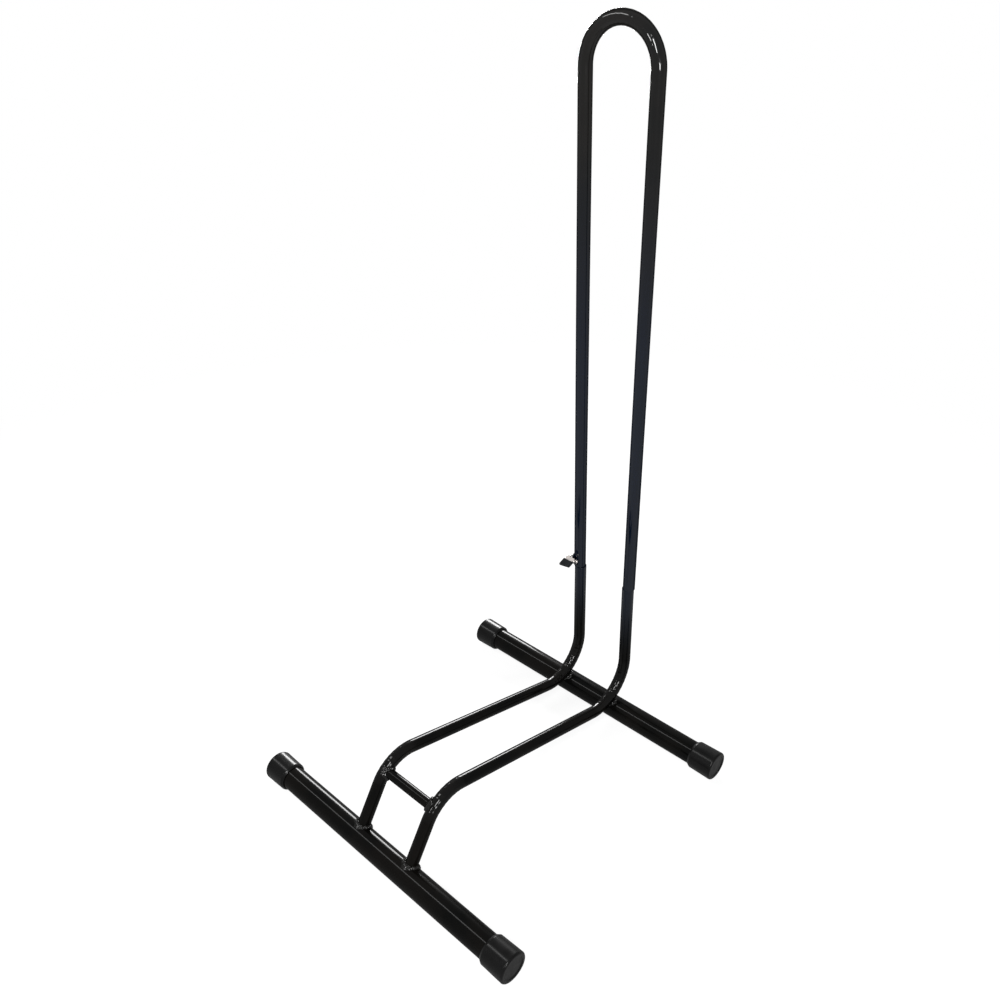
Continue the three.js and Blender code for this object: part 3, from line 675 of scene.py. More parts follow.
def collar_bead(node, finish, place, branch, host, bead, count, welds):
    """Makes the bead round a branch tube along Z, where it stands on a host tube along X.

    At turn t round the branch its section is a circle of radius q about a point `lift` off both
    surfaces, kept outside the branch and above the host, whose height there is
    sqrt(host^2 - (p sin t)^2) at radius p. The section closes along the two surfaces. `place`
    holds the origin and the axes.
    """
    turn = np.linspace(0.0, 2 * math.pi, BEAD_SIDES, endpoint=False)[None, :]
    low = -math.asin(min(1.0, welds.lift / bead))
    high = math.pi - math.acos(min(1.0, welds.lift / bead))
    section = np.linspace(low, high, BEAD_POINTS)[:, None]
    q = bead * ripples(turn, section, count, welds.ripple)
    corner = np.zeros((1, BEAD_SIDES))
    p = branch + np.concatenate([np.maximum(welds.lift + q * np.cos(section), 0.0), corner])
    upward = np.concatenate([np.maximum(welds.lift + q * np.sin(section), 0.0), corner])
    aside = np.clip(np.abs(p * np.sin(turn)), 0.0, host)
    height = upward + np.sqrt(host**2 - aside**2)
    points = np.stack([p * np.cos(turn), p * np.sin(turn), height], axis=-1)
    quads = grid_faces(len(p), BEAD_SIDES, closed_rows=True)
    return make_piece(node, finish, placed(points, *place).reshape(-1, 3), quads)


def outside_of_rod(points, axis, radius):
    """Points pushed straight out of a rod along X through (y, z), where they lie in it."""
    away = points[..., 1:] - axis
    reach = np.linalg.norm(away, axis=-1, keepdims=True)
    moved = points.copy()
    moved[..., 1:] = axis + away / reach * np.maximum(reach, radius)
    return moved


def outside_of_bend(points, centre, bend, x, radius):
    """Points pushed straight out of a bent rod in the plane X = x, where they lie in it.

    The rod's axis is the circle of radius `bend` round (y, z) = centre.
    """
    away = points[..., 1:] - centre
    on_axis = centre + away / np.linalg.norm(away, axis=-1, keepdims=True) * bend
    nearest = np.concatenate([np.full(points[..., :1].shape, x), on_axis], axis=-1)
    off = points - nearest
    reach = np.linalg.norm(off, axis=-1, keepdims=True)
    return nearest + off / reach * np.maximum(reach, radius)


# ---------------------------------------------------------------- flat and turned shapes


def arc(centre, radius, start, end, steps):
    """Points of an arc, in degrees."""
    turn = np.radians(np.linspace(start, end, steps))
    return np.asarray(centre) + radius * np.stack([np.cos(turn), np.sin(turn)], axis=-1)


def rounded_corner(start, control, end, steps=7):
    """Points of the curve (1 - t)^2 a + 2 t (1 - t) b + t^2 c that rounds off a corner."""
    t = np.linspace(0.0, 1.0, steps)[:, None]
    a, b, c = (np.asarray(point, dtype=float) for point in (start, control, end))
    return (1 - t) ** 2 * a + 2 * t * (1 - t) * b + t**2 * c


def prism(outline, stations, lift):
    """Points and faces of an outline carried along a straight line.

    `lift(outline, station)` places the outline's points at a station. The outline runs
    anticlockwise as seen from the far end.
    """
    points = np.stack([lift(outline, station) for station in stations])
    rows, columns = points.shape[:2]
    quads = grid_faces(rows, columns, closed_rows=False)
    near = np.arange(columns)[::-1]
    far = (rows - 1) * columns + np.arange(columns)
    return points.reshape(-1, 3), quads, [near, far]


def joined(*shapes):
    """Several prisms as one set of points and faces."""
    points, quads, polygons = [], [], []
    count = 0
    for some_points, some_quads, some_polygons in shapes:
        points.append(some_points)
        quads.append(some_quads + count)
        polygons.extend(polygon + count for polygon in some_polygons)
        count += len(some_points)
    return np.concatenate(points), np.concatenate(quads), polygons


def turned_shape(profile, origin, heading, reference, sides):
    """Points and faces of a profile of (radius, distance) turned about an axis.

    The profile's first and last points lie on the axis and close the shape with poles.
    """
    radii, distance = profile[1:-1, 0], profile[1:-1, 1]
    turn = np.linspace(0.0, 2 * math.pi, sides, endpoint=False)[:, None]
    spread = np.cos(turn) * reference + np.sin(turn) * np.cross(heading, reference)
    rings = origin + distance[:, None, None] * heading + radii[:, None, None] * spread
    poles = origin + profile[[0, -1], 1][:, None] * heading
    return np.concatenate([rings.reshape(-1, 3), poles]), *faces_with_poles(len(radii), sides)


# ---------------------------------------------------------------- finishes


def add_node(tree, kind, values=None, **settings):
    """A node with some of its settings set, and the values of some of its inputs."""
    node = tree.nodes.new(kind)
    for name, value in settings.items():
        setattr(node, name, value)
    for name, value in (values or {}).items():
        node.inputs[name].default_value = value
    return node


def wire(tree, *links):
    """Links, each given as a node, its output, the next node and that one's input."""
    for source, output, target, entry in links:
        tree.links.new(source.outputs[output], target.inputs[entry])


def eased(tree, low, high, at_low, at_high):
    """A node that takes a value smoothly from one number at `low` to another at `high`."""
    values = {"From Min": low, "From Max": high, "To Min": at_low, "To Max": at_high}
    return add_node(tree, "ShaderNodeMapRange", values, interpolation_type="SMOOTHSTEP")


def group_tree(name, numbers, output):
    """An empty node group that takes a Place and those numbers, and its two end nodes."""
    tree = bpy.data.node_groups.new(name, "ShaderNodeTree")
    tree.interface.new_socket(name="Place", in_out="INPUT", socket_type="NodeSocketVector")
    for label in numbers:
        tree.interface.new_socket(name=label, in_out="INPUT", socket_type="NodeSocketFloat")
    tree.interface.new_socket(name=output, in_out="OUTPUT", socket_type="NodeSocketFloat")
    return tree, tree.nodes.new("NodeGroupInput"), tree.nodes.new("NodeGroupOutput")


def patchy_tone():
    """Group: a slow, soft pattern between two values, for gloss and tone that vary over a surface."""
    if "Patchy Tone" in bpy.data.node_groups:
        return bpy.data.node_groups["Patchy Tone"]
    tree, given, result = group_tree("Patchy Tone", ("Scale", "Low", "High"), "Value")
    noise = add_node(tree, "ShaderNodeTexNoise", {"Detail": 4.0, "Roughness": 0.6})
    spread = eased(tree, 0.35, 0.65, 0.0, 1.0)
    wire(
        tree,
        (given, "Place", noise, "Vector"),
        (given, "Scale", noise, "Scale"),
        (noise, "Fac", spread, "Value"),
        (given, "Low", spread, "To Min"),
        (given, "High", spread, "To Max"),
        (spread, "Result", result, "Value"),
    )
    return tree


def fine_grain():
    """Group: the height of a fine skin, as orange peel in a coat or the grain of a mould."""
    if "Fine Grain" in bpy.data.node_groups:
        return bpy.data.node_groups["Fine Grain"]
    tree, given, result = group_tree("Fine Grain", ("Scale", "Depth"), "Height")
    noise = add_node(tree, "ShaderNodeTexNoise", {"Detail": 2.0})
    deepen = add_node(tree, "ShaderNodeMath", operation="MULTIPLY")
    wire(
        tree,
        (given, "Place", noise, "Vector"),
        (given, "Scale", noise, "Scale"),
        (noise, "Fac", deepen, 0),
        (given, "Depth", deepen, 1),
        (deepen, "Value", result, "Height"),
    )
    return tree


def new_finish(name):
    """A material with a Principled shader, and its tree and shader."""
    material = bpy.data.materials.new(name)
    material.use_nodes = True
    tree = material.node_tree
    return material, tree, tree.nodes["Principled BSDF"]


def use_group(tree, group, place, **values):
    """A group in a material, which reads its place from a Texture Coordinate node."""
    node = add_node(tree, "ShaderNodeGroup", values, node_tree=group)
    wire(tree, (place, "Object", node, "Place"))
    return node


def mix_colours(tree, factor, low, high):
    """A colour between two others, the first of which may be another node's output."""
    mix = add_node(tree, "ShaderNodeMix", data_type="RGBA")
    tree.links.new(factor, mix.inputs["Factor"])
    if isinstance(low, bpy.types.NodeSocket):
        tree.links.new(low, mix.inputs["A"])
    else:
        mix.inputs["A"].default_value = (*low, 1.0)
    mix.inputs["B"].default_value = (*high, 1.0)
    return mix.outputs["Result"]


def varied(tree, shader, colours, tone_scale, gloss, gloss_scale, depth, grain_scale):
    """Varies a shader's roughness, and gives a colour that varies and the height of a grain.

    The colour goes from one to the other in patches, and the roughness between the two values of
    `gloss`. The depth of the grain is in metres. The scales are those of the three patterns.
    """
    place = add_node(tree, "ShaderNodeTexCoord")
    tone = use_group(tree, patchy_tone(), place, Scale=tone_scale, Low=0.0, High=1.0)
    sheen = use_group(tree, patchy_tone(), place, Scale=gloss_scale, Low=gloss[0], High=gloss[1])
    grain = use_group(tree, fine_grain(), place, Scale=grain_scale, Depth=depth)
    wire(tree, (sheen, "Value", shader, "Roughness"))
    return mix_colours(tree, tone.outputs["Value"], *colours), grain.outputs["Height"]


def dress(tree, shader, tone, height):
    """Gives a shader its colour, and its normal from a height in metres."""
    bump = add_node(tree, "ShaderNodeBump", {"Strength": 1.0, "Distance": 1.0})
    tree.links.new(tone, shader.inputs["Base Color"])
    tree.links.new(height, bump.inputs["Height"])
    wire(tree, (bump, "Normal", shader, "Normal"))


def with_height(tree, low, high, at_low, at_high):
    """A node for a value that goes from one number to another between two heights over the floor."""
    place = add_node(tree, "ShaderNodeTexCoord")
    parts = add_node(tree, "ShaderNodeSeparateXYZ")
    rise = eased(tree, low, high, at_low, at_high)
    wire(tree, (place, "Object", parts, "Vector"), (parts, "Z", rise, "Value"))
    return rise


def gloss_at_edges(tree, shader, gloss, roughness, fade_from, sheen, upper_gloss=None):
    """Strength of a black skin's gloss: full face on, and gone where the surface turns edge on.

    Under the gloss the skin keeps a weak and soft sheen, which carries its fine relief. Where
    `upper_gloss` is given, the gloss grows to it with the height over the floor, and a little more
    in a bend, where the coat lies thicker.
    """
    facing = add_node(tree, "ShaderNodeLayerWeight", {"Blend": 0.5})
    fade = eased(tree, fade_from, fade_from + 0.3, gloss, 0.0)
    wire(tree, (facing, "Facing", fade, "Value"), (fade, "Result", shader, "Coat Weight"))
    shader.inputs["Coat Roughness"].default_value = roughness
    shader.inputs["Specular IOR Level"].default_value = sheen
    if upper_gloss is not None:
        rise = with_height(tree, 0.1, 0.2, gloss, upper_gloss)
        bend = add_node(tree, "ShaderNodeAttribute", attribute_name="bend")
        in_bend = add_node(tree, "ShaderNodeMath", {1: 0.12}, operation="MULTIPLY_ADD")
        wire(
            tree,
            (bend, "Fac", in_bend, 0),
            (rise, "Result", in_bend, 2),
            (in_bend, "Value", fade, "To Min"),
        )


def gloss_coat(looks, kind):
    """The gloss black coat: orange peel, patches of tone, and on a tube its draw lines.

    The kinds are "tube", "hoop" and "weld". On a tube the surface map gives distance along and
    round it, so the faint lines run lengthwise.
    """
    name = f"gloss_coat_{kind}"
    if name in bpy.data.materials:
        return bpy.data.materials[name]
    material, tree, shader = new_finish(name)
    rough = looks.coat_roughness
    if kind == "hoop":
        gloss_at_edges(tree, shader, looks.hoop_gloss, rough, fade_from=0.28, sheen=0.006)
    elif kind == "weld":
        gloss_at_edges(tree, shader, looks.weld_gloss, rough, fade_from=0.5, sheen=0.01)
    else:
        gloss_at_edges(
            tree, shader, looks.coat_gloss, rough, fade_from=0.5, sheen=0.006,
            upper_gloss=looks.hoop_gloss * 0.8,
        )
    tone, height = varied(
        tree, shader, (looks.coat, looks.coat_warm), tone_scale=14.0, gloss=(0.26, 0.36),
        gloss_scale=60.0, depth=0.00001, grain_scale=260.0,
    )
    # Painted reflection: a bluish tint up the stubs and legs, neutral again towards the hoop's top, in
    # place of the blue surroundings that the gloss reflects there.
    painted_reflection_band = add_node(tree, "ShaderNodeMath", operation="MULTIPLY")
    wire(
        tree,
        (with_height(tree, 0.1, 0.22, 0.0, 1.0), "Result", painted_reflection_band, 0),
        (with_height(tree, 0.5, 0.8, 1.0, 0.0), "Result", painted_reflection_band, 1),
    )
    tone = mix_colours(tree, painted_reflection_band.outputs["Value"], tone, looks.coat_painted_reflection)
    if kind != "weld":
        height = with_draw_lines(tree, height)
    dress(tree, shader, tone, height)
    return material


def with_draw_lines(tree, height):
    """Adds to a height the fine lines that run along a drawn tube."""
    flat = add_node(tree, "ShaderNodeUVMap", uv_map="surface_map")
    stretch = add_node(tree, "ShaderNodeMapping", {"Scale": (6.0, 900.0, 1.0)})
    lines = add_node(tree, "ShaderNodeTexNoise", {"Scale": 1.0, "Detail": 3.0})
    deepen = add_node(tree, "ShaderNodeMath", {1: 0.00001}, operation="MULTIPLY_ADD")
    wire(
        tree,
        (flat, "UV", stretch, "Vector"),
        (stretch, "Vector", lines, "Vector"),
        (lines, "Fac", deepen, 0),
    )
    tree.links.new(height, deepen.inputs[2])
    return deepen.outputs["Value"]


def moulded_plastic(name, looks, tint, depth):
    """Satin moulded plastic: a fine grain and a tone that varies softly."""
    if name in bpy.data.materials:
        return bpy.data.materials[name]
    material, tree, shader = new_finish(name)
    gloss_at_edges(tree, shader, looks.cap_gloss, looks.cap_roughness, fade_from=0.5, sheen=0.02)
    lighter = [value * 1.5 for value in tint]
    tone, height = varied(
        tree, shader, (tint, lighter), tone_scale=45.0, gloss=(0.34, 0.46), gloss_scale=90.0,
        depth=depth, grain_scale=1500.0,
    )
    dress(tree, shader, tone, height)
    return material


def zinc_plate(looks):
    """Pale zinc plate: smooth metal with a faint spangle and gloss that varies."""
    if "pale_zinc" in bpy.data.materials:
        return bpy.data.materials["pale_zinc"]
    material, tree, shader = new_finish("pale_zinc")
    shader.inputs["Metallic"].default_value = 1.0
    darker = [value * 0.82 for value in looks.zinc]
    tone, height = varied(
        tree, shader, (darker, looks.zinc), tone_scale=220.0, gloss=(0.04, 0.07), gloss_scale=400.0,
        depth=0.0000001, grain_scale=2200.0,
    )
    dress(tree, shader, tone, height)
    return material


def seen_directly(tree):
    """A node: 1 for camera, glossy and transmission rays, so that metal sees the stage, or else 0."""
    path = add_node(tree, "ShaderNodeLightPath")
    first = add_node(tree, "ShaderNodeMath", operation="MAXIMUM")
    second = add_node(tree, "ShaderNodeMath", operation="MAXIMUM")
    wire(
        tree,
        (path, "Is Camera Ray", first, 0),
        (path, "Is Glossy Ray", first, 1),
        (first, "Value", second, 0),
        (path, "Is Transmission Ray", second, 1),
    )
    return second


# ---------------------------------------------------------------- operators


class BikeRackOperator:
    """What the operators share."""

    bl_options = {"REGISTER", "UNDO"}


class RACK_OT_base_tubes(BikeRackOperator, bpy.types.Operator):
    """Builds the front and rear base tubes"""

    bl_idname = "rack.base_tubes"
    bl_label = "Base Tubes"

    def execute(self, context):
        sizes = context.scene.rack_tubes
        coat = gloss_coat(context.scene.rack_finishes, "tube")
        for node in ("front_base_tube", "rear_base_tube"):
            low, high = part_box(node)
            axis = node_middle(node)[1:]
            path = bent_path([(low[0], *axis), (high[0], *axis)], ())
            tube_piece(
                node, coat, path, sizes.base_diameter / 2, sizes.base_wall, sizes.edge, Z_AXIS,
                sides=BASE_SIDES,
            )
        return {"FINISHED"}


class RACK_OT_end_caps(BikeRackOperator, bpy.types.Operator):
    """Builds the four caps on the ends of the base tubes"""

    bl_idname = "rack.end_caps"
    bl_label = "End Caps"

    def execute(self, context):
        looks = context.scene.rack_finishes
        finish = moulded_plastic("satin_cap", looks, looks.cap, depth=0.000004)
        profile = cap_profile(context.scene.rack_tubes, context.scene.rack_caps)
        for end in ("front", "rear"):
            axis = node_middle(f"{end}_base_tube")
            for name, hand in HANDS.items():
                node = f"{end}_{name}_cap"
                low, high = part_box(node)
                mouth = low[0] if hand > 0 else high[0]
                origin = np.array([mouth, axis[1], axis[2]])
                points, *faces = turned_shape(profile, origin, hand * X_AXIS, Z_AXIS, BASE_SIDES)
                # The worn flat underneath: nothing goes below the floor.
                points[:, 2] = np.maximum(points[:, 2], 0.0)
                make_piece(node, finish, points, *faces)
        return {"FINISHED"}


def cap_profile(tubes, sizes):
    """The (radius, distance) outline of a cap, from the middle of its inner floor to its face.

    The creases are quarter turns of the edge radius, and the rim is a quarter circle. Rings close
    to the creases keep them out of the shading of the body and the disc.
    """
    bore = tubes.base_diameter / 2 + tubes.fit_gap
    seam, end = sizes.seam_diameter / 2, sizes.end_diameter / 2
    total, edge, rim = sizes.cap_length, sizes.edge, sizes.rim_radius
    floor = total - sizes.end_wall
    face = end - rim - sizes.face_border
    lip = bore + sizes.lip_wall
    cone = unit(np.array([seam - lip, sizes.lead_in]))
    body = unit(np.array([end - seam, total - rim - sizes.lead_in]))
    crease = np.array([seam, sizes.lead_in])
    sunk = total - sizes.face_inset
    inner = face - sizes.face_inset
    turn = np.linspace(0.0, math.pi / 2, 9)
    rim_arc = np.stack([end - rim * (1 - np.cos(turn)), total - rim * (1 - np.sin(turn))], axis=-1)
    small = edge * 0.5
    slant = small * 0.7
    guard = 0.8 * MM
    return np.concatenate([
        [(0.0, floor), (bore - small, floor)],
        [(bore, floor - small), (bore, small)],
        rounded_corner((bore, small), (bore, 0.0), (bore + small, 0.0), 4)[1:],
        rounded_corner((lip - small, 0.0), (lip, 0.0), np.array([lip, 0.0]) + cone * small, 4),
        rounded_corner(crease - cone * edge, crease, crease + body * edge, 6),
        np.linspace(crease + body * (edge + guard), rim_arc[0] - body * guard, 6),
        rim_arc,
        rounded_corner((face + small, total), (face, total), (face - slant, total - slant), 5),
        rounded_corner((inner + slant, sunk + slant), (inner, sunk), (inner - small, sunk), 5),
        [(inner - small - 0.6 * MM, sunk), (inner * 0.5, sunk), (0.0, sunk)],
    ])


class RACK_OT_rails(BikeRackOperator, bpy.types.Operator):
    """Builds the two bent rails"""

    bl_idname = "rack.rails"
    bl_label = "Rails"

    def execute(self, context):
        sizes = context.scene.rack_tubes
        coat = gloss_coat(context.scene.rack_finishes, "tube")
        host = sizes.base_diameter / 2 + sizes.fit_gap
        for name, hand in HANDS.items():
            tube_piece(
                f"{name}_rail", coat, rail_path(sizes, hand), sizes.rail_diameter / 2, sizes.rail_wall,
                sizes.edge, X_AXIS, hosts=(host, 0.0), wrinkle=sizes.rail_wrinkle,
                pitch=sizes.wrinkle_pitch,
            )
        return {"FINISHED"}


class RACK_OT_crossbar(BikeRackOperator, bpy.types.Operator):
    """Builds the crossbar between the rails"""

    bl_idname = "rack.crossbar"
    bl_label = "Crossbar"

    def execute(self, context):
        sizes = context.scene.rack_tubes
        lines = RackLines(sizes)
        half = sizes.rail_spacing_front / 2
        host = sizes.rail_diameter / 2 + sizes.fit_gap
        tube_piece(
            "crossbar", gloss_coat(context.scene.rack_finishes, "tube"),
            bent_path([(-half, *lines.crossbar), (half, *lines.crossbar)], ()),
            sizes.crossbar_diameter / 2, sizes.crossbar_wall, sizes.edge,
            np.array([0.0, *lines.crossbar_heading]), hosts=(host, host),
        )
        return {"FINISHED"}


class RACK_OT_hoop(BikeRackOperator, bpy.types.Operator):
    """Builds the hoop, with the window for the cam in its left leg"""

    bl_idname = "rack.hoop"
    bl_label = "Hoop"

    def execute(self, context):
        sizes, catch = context.scene.rack_tubes, context.scene.rack_catch
        radius = sizes.hoop_diameter / 2
        reference = HoopFrame(sizes).axes[1]
        tall = radius + catch.standoff - sizes.spigot_diameter / 2 - sizes.fit_gap + WINDOW_ROOM
        middle = catch.height - sizes.fit_gap
        low, high = middle - tall, middle + tall
        # Rings close to the window keep its edges out of the shading of the leg.
        path = hoop_path(sizes, (low - MM, low, middle, high, high + MM))
        # Columns start at the rear (+Y) and turn towards -X, so the front wall is half a turn on.
        columns = np.arange(TUBE_SIDES)
        turn = 2 * math.pi * columns / TUBE_SIDES
        across = np.cross(unit(path[2][0]), reference)[0] * np.sin(turn) * radius
        by_cam = np.abs(across - catch.cam_offset) < catch.cam_width / 2 + WINDOW_ROOM
        within = columns[(np.cos(turn) < -0.5) & by_cam]
        tube_piece(
            "hoop", gloss_coat(context.scene.rack_finishes, "hoop"), path, radius, sizes.hoop_wall,
            sizes.edge, reference, window=(path[0][2], path[0][4], int(within[0]), int(within[-1])),
            wrinkle=sizes.hoop_wrinkle, pitch=sizes.wrinkle_pitch,
        )
        return {"FINISHED"}


class RACK_OT_spigots(BikeRackOperator, bpy.types.Operator):
    """Builds the two plated spigots that the hoop plugs onto"""

    bl_idname = "rack.spigots"
    bl_label = "Spigots"

    def execute(self, context):
        sizes = context.scene.rack_tubes
        zinc = zinc_plate(context.scene.rack_finishes)
        spacing = (sizes.rail_spacing_rear + sizes.foot_spacing) / 2
        for name, hand in HANDS.items():
            leg = HoopFrame(sizes).leg(hand, spacing)
            ends = placed([(0, 0, -sizes.spigot_in_stub), (0, 0, sizes.spigot_in_hoop)], *leg)
            tube_piece(
                f"{name}_spigot", zinc, bent_path(ends, ()), sizes.spigot_diameter / 2,
                sizes.spigot_wall, sizes.edge, X_AXIS, lead=sizes.spigot_lead,
            )
        return {"FINISHED"}


class RACK_OT_collar_welds(BikeRackOperator, bpy.types.Operator):
    """Builds the beads round the feet of the posts and the ends of the crossbar"""

    bl_idname = "rack.collar_welds"
    bl_label = "Collar Welds"

    def execute(self, context):
        sizes, welds = context.scene.rack_tubes, context.scene.rack_welds
        coat = gloss_coat(context.scene.rack_finishes, "weld")
        lines = RackLines(sizes)
        base, rail, bar = sizes.base_diameter / 2, sizes.rail_diameter / 2, sizes.crossbar_diameter / 2
        post = np.array([0.0, *lines.post])
        bend = np.array([0.0, *lines.crossbar_heading])
        for name, hand in HANDS.items():
            x = hand * sizes.rail_spacing_front / 2
            axes = np.array([X_AXIS, np.cross(post, X_AXIS), post])
            place = ((x, *lines.front_axis), axes)
            node = f"{name}_post_weld"
            collar_bead(node, coat, place, rail, base, welds.post_bead, POST_RIPPLES, welds)
            inward = -hand * X_AXIS
            axes = np.array([bend, np.cross(inward, bend), inward])
            place = ((x, *lines.crossbar), axes)
            node = f"{name}_crossbar_weld"
            collar_bead(node, coat, place, bar, rail, welds.crossbar_bead, CROSSBAR_RIPPLES, welds)
        return {"FINISHED"}


class RACK_OT_saddle_welds(BikeRackOperator, bpy.types.Operator):
    """Builds the beads where the rails lie on the rear base tube"""

    bl_idname = "rack.saddle_welds"
    bl_label = "Saddle Welds"

    def execute(self, context):
        sizes, welds = context.scene.rack_tubes, context.scene.rack_welds
        coat = gloss_coat(context.scene.rack_finishes, "weld")
        lines = RackLines(sizes)
        base, rail = sizes.base_diameter / 2, sizes.rail_diameter / 2
        normal = np.array([0.0, *lines.saddle_normal])
        contact = lines.rear_axis + lines.saddle_normal * (base + sizes.fit_gap / 2)
        turn = np.linspace(0.0, 2 * math.pi, BEAD_SIDES, endpoint=False)[None, :]
        rise = np.linspace(-math.pi / 2, math.pi / 2, SADDLE_ROWS)[1:-1, None]
        # An ellipsoid, with shallower ripples that fade towards its poles, pushed out of both tubes.
        depth = welds.ripple * 0.6
        grow = 1 + (ripples(turn, 2 * rise, SADDLE_RIPPLES, depth) - 1) * np.cos(rise) ** 2
        ball = np.stack([
            np.cos(rise) * np.cos(turn) * grow,
            np.cos(rise) * np.sin(turn) * grow,
            np.sin(rise) * np.ones_like(turn),
        ], axis=-1)
        lump = np.concatenate([ball.reshape(-1, 3), [-Z_AXIS, Z_AXIS]])
        lump *= (welds.saddle_across, welds.saddle_along, welds.saddle_thick)
        axes = np.array([X_AXIS, np.cross(normal, X_AXIS), normal])
        faces = faces_with_poles(len(rise), BEAD_SIDES)
        for name, hand in HANDS.items():
            x = hand * sizes.rail_spacing_rear / 2
            points = placed(lump, (x, *contact), axes)
            points = outside_of_rod(points, lines.rear_axis, base)
            points = outside_of_bend(points, lines.rear_centre, sizes.rear_bend, x, rail)
            make_piece(f"{name}_saddle_weld", coat, points, *faces)
        return {"FINISHED"}


class CatchFrame:
    """The catch's own frame: X along the pin, +Y into the leg, Z up the leg, origin on the pin."""

    def __init__(self, tubes, sizes):
        leg_origin, self.axes = HoopFrame(tubes).leg(HANDS["left"], tubes.foot_spacing)
        self.leg_radius = tubes.hoop_diameter / 2
        self.leg_y = self.leg_radius + sizes.standoff
        self.origin = placed((0.0, -self.leg_y, sizes.height), leg_origin, self.axes)
        self.cam_reach = self.leg_y - tubes.spigot_diameter / 2 - tubes.fit_gap
        self.cam = [sizes.cam_offset - sizes.cam_width / 2, sizes.cam_offset + sizes.cam_width / 2]
        self.ears = [self.cam[0] - tubes.fit_gap, self.cam[1] + tubes.fit_gap]
        half = sizes.plate_width / 2
        self.plate = [sizes.plate_offset - half, sizes.plate_offset + half]
        self.droop_origin = np.array([0.0, -sizes.plate_reach, sizes.plate_top])
        self.droop_axes = leaning_axes(sizes.droop)

    def across(self, outline, x):
        """A (y, z) outline at one x, with its back kept in the leg's wall."""
        wall = self.leg_y - math.sqrt(max(self.leg_radius**2 - x**2, 0.0)) + ROOT_DEPTH
        y = np.minimum(outline[:, 0], wall)
        return np.stack([np.full(len(outline), x), y, outline[:, 1]], axis=-1)

    def upright(self, outline, x):
        """A (y, z) outline at one x."""
        return np.stack([np.full(len(outline), x), outline[:, 0], outline[:, 1]], axis=-1)

    def flat(self, outline, z):
        """An (x, y) outline at one height."""
        return np.stack([outline[:, 0], outline[:, 1], np.full(len(outline), z)], axis=-1)

    def drooped(self, outline, z):
        """An (x, y) outline at one height of the drooping end's frame."""
        return placed(self.flat(outline, z), self.droop_origin, self.droop_axes)

    def piece(self, node, finish, points, quads, triangles=None, polygons=()):
        """Makes a piece from points in this frame."""
        world = placed(points, self.origin, self.axes)
        return make_piece(node, finish, world, quads, triangles, polygons=polygons)


class RACK_OT_catch_bracket(BikeRackOperator, bpy.types.Operator):
    """Builds the catch's bracket: two ears and the web under the cam"""

    bl_idname = "rack.catch_bracket"
    bl_label = "Catch Bracket"

    def execute(self, context):
        tubes, sizes = context.scene.rack_tubes, context.scene.rack_catch
        catch = CatchFrame(tubes, sizes)
        left = catch.ears[0] - sizes.ear_thickness
        right = catch.ears[1] + sizes.ear_thickness
        front, back, foot = sizes.web_front, catch.leg_y, -sizes.root_bottom
        ear = np.concatenate([
            [(back, foot), (back, sizes.root_top)],
            [(back - tubes.spigot_diameter / 2, sizes.root_top)],
            arc((0.0, 0.0), sizes.ear_radius, 50.0, 270.0, 25),
            [(front, foot)],
        ])
        web_top = -catch.cam_reach - tubes.fit_gap
        web = np.array([(front, foot), (back, foot), (back, web_top), (front, web_top)])
        points, quads, polygons = joined(
            prism(ear, np.linspace(left, catch.ears[0], 6), catch.across),
            prism(ear, np.linspace(catch.ears[1], right, 4), catch.across),
            prism(web, np.linspace(left, right, 16), catch.across),
        )
        coat = gloss_coat(context.scene.rack_finishes, "weld")
        piece = catch.piece("catch_bracket", coat, points, quads, polygons=polygons)
        soften_edges(piece, 0.25 * MM)
        return {"FINISHED"}


class RACK_OT_catch_pin(BikeRackOperator, bpy.types.Operator):
    """Builds the catch's pin, headed over at both ends"""

    bl_idname = "rack.catch_pin"
    bl_label = "Catch Pin"

    def execute(self, context):
        tubes, sizes = context.scene.rack_tubes, context.scene.rack_catch
        catch = CatchFrame(tubes, sizes)
        from_x = catch.ears[0] - sizes.ear_thickness - tubes.fit_gap
        to_x = catch.ears[1] + sizes.ear_thickness + tubes.fit_gap
        shank, head, thick = sizes.pin_diameter / 2, sizes.head_diameter / 2, sizes.head_thickness
        # A head is domed like half of a flattened ball with a short straight side.
        turn = np.linspace(0.0, math.pi / 2, 8)
        dome = np.stack([head * np.sin(turn), thick * 0.75 * np.cos(turn)], axis=-1)
        near = np.stack([dome[:, 0], from_x - thick * 0.25 - dome[:, 1]], axis=-1)
        far = np.stack([dome[::-1, 0], to_x + thick * 0.25 + dome[::-1, 1]], axis=-1)
        profile = np.concatenate([
            near,
            [(head, from_x - 0.05 * MM), (head - 0.1 * MM, from_x), (shank, from_x)],
            [(shank, to_x), (head - 0.1 * MM, to_x), (head, to_x + 0.05 * MM)],
            far,
        ])
        shape = turned_shape(profile, np.zeros(3), X_AXIS, np.array([0.0, 1.0, 0.0]), 36)
        piece = catch.piece("catch_pin", zinc_plate(context.scene.rack_finishes), *shape)
        piece.data.set_sharp_from_angle(angle=math.radians(50))
        return {"FINISHED"}


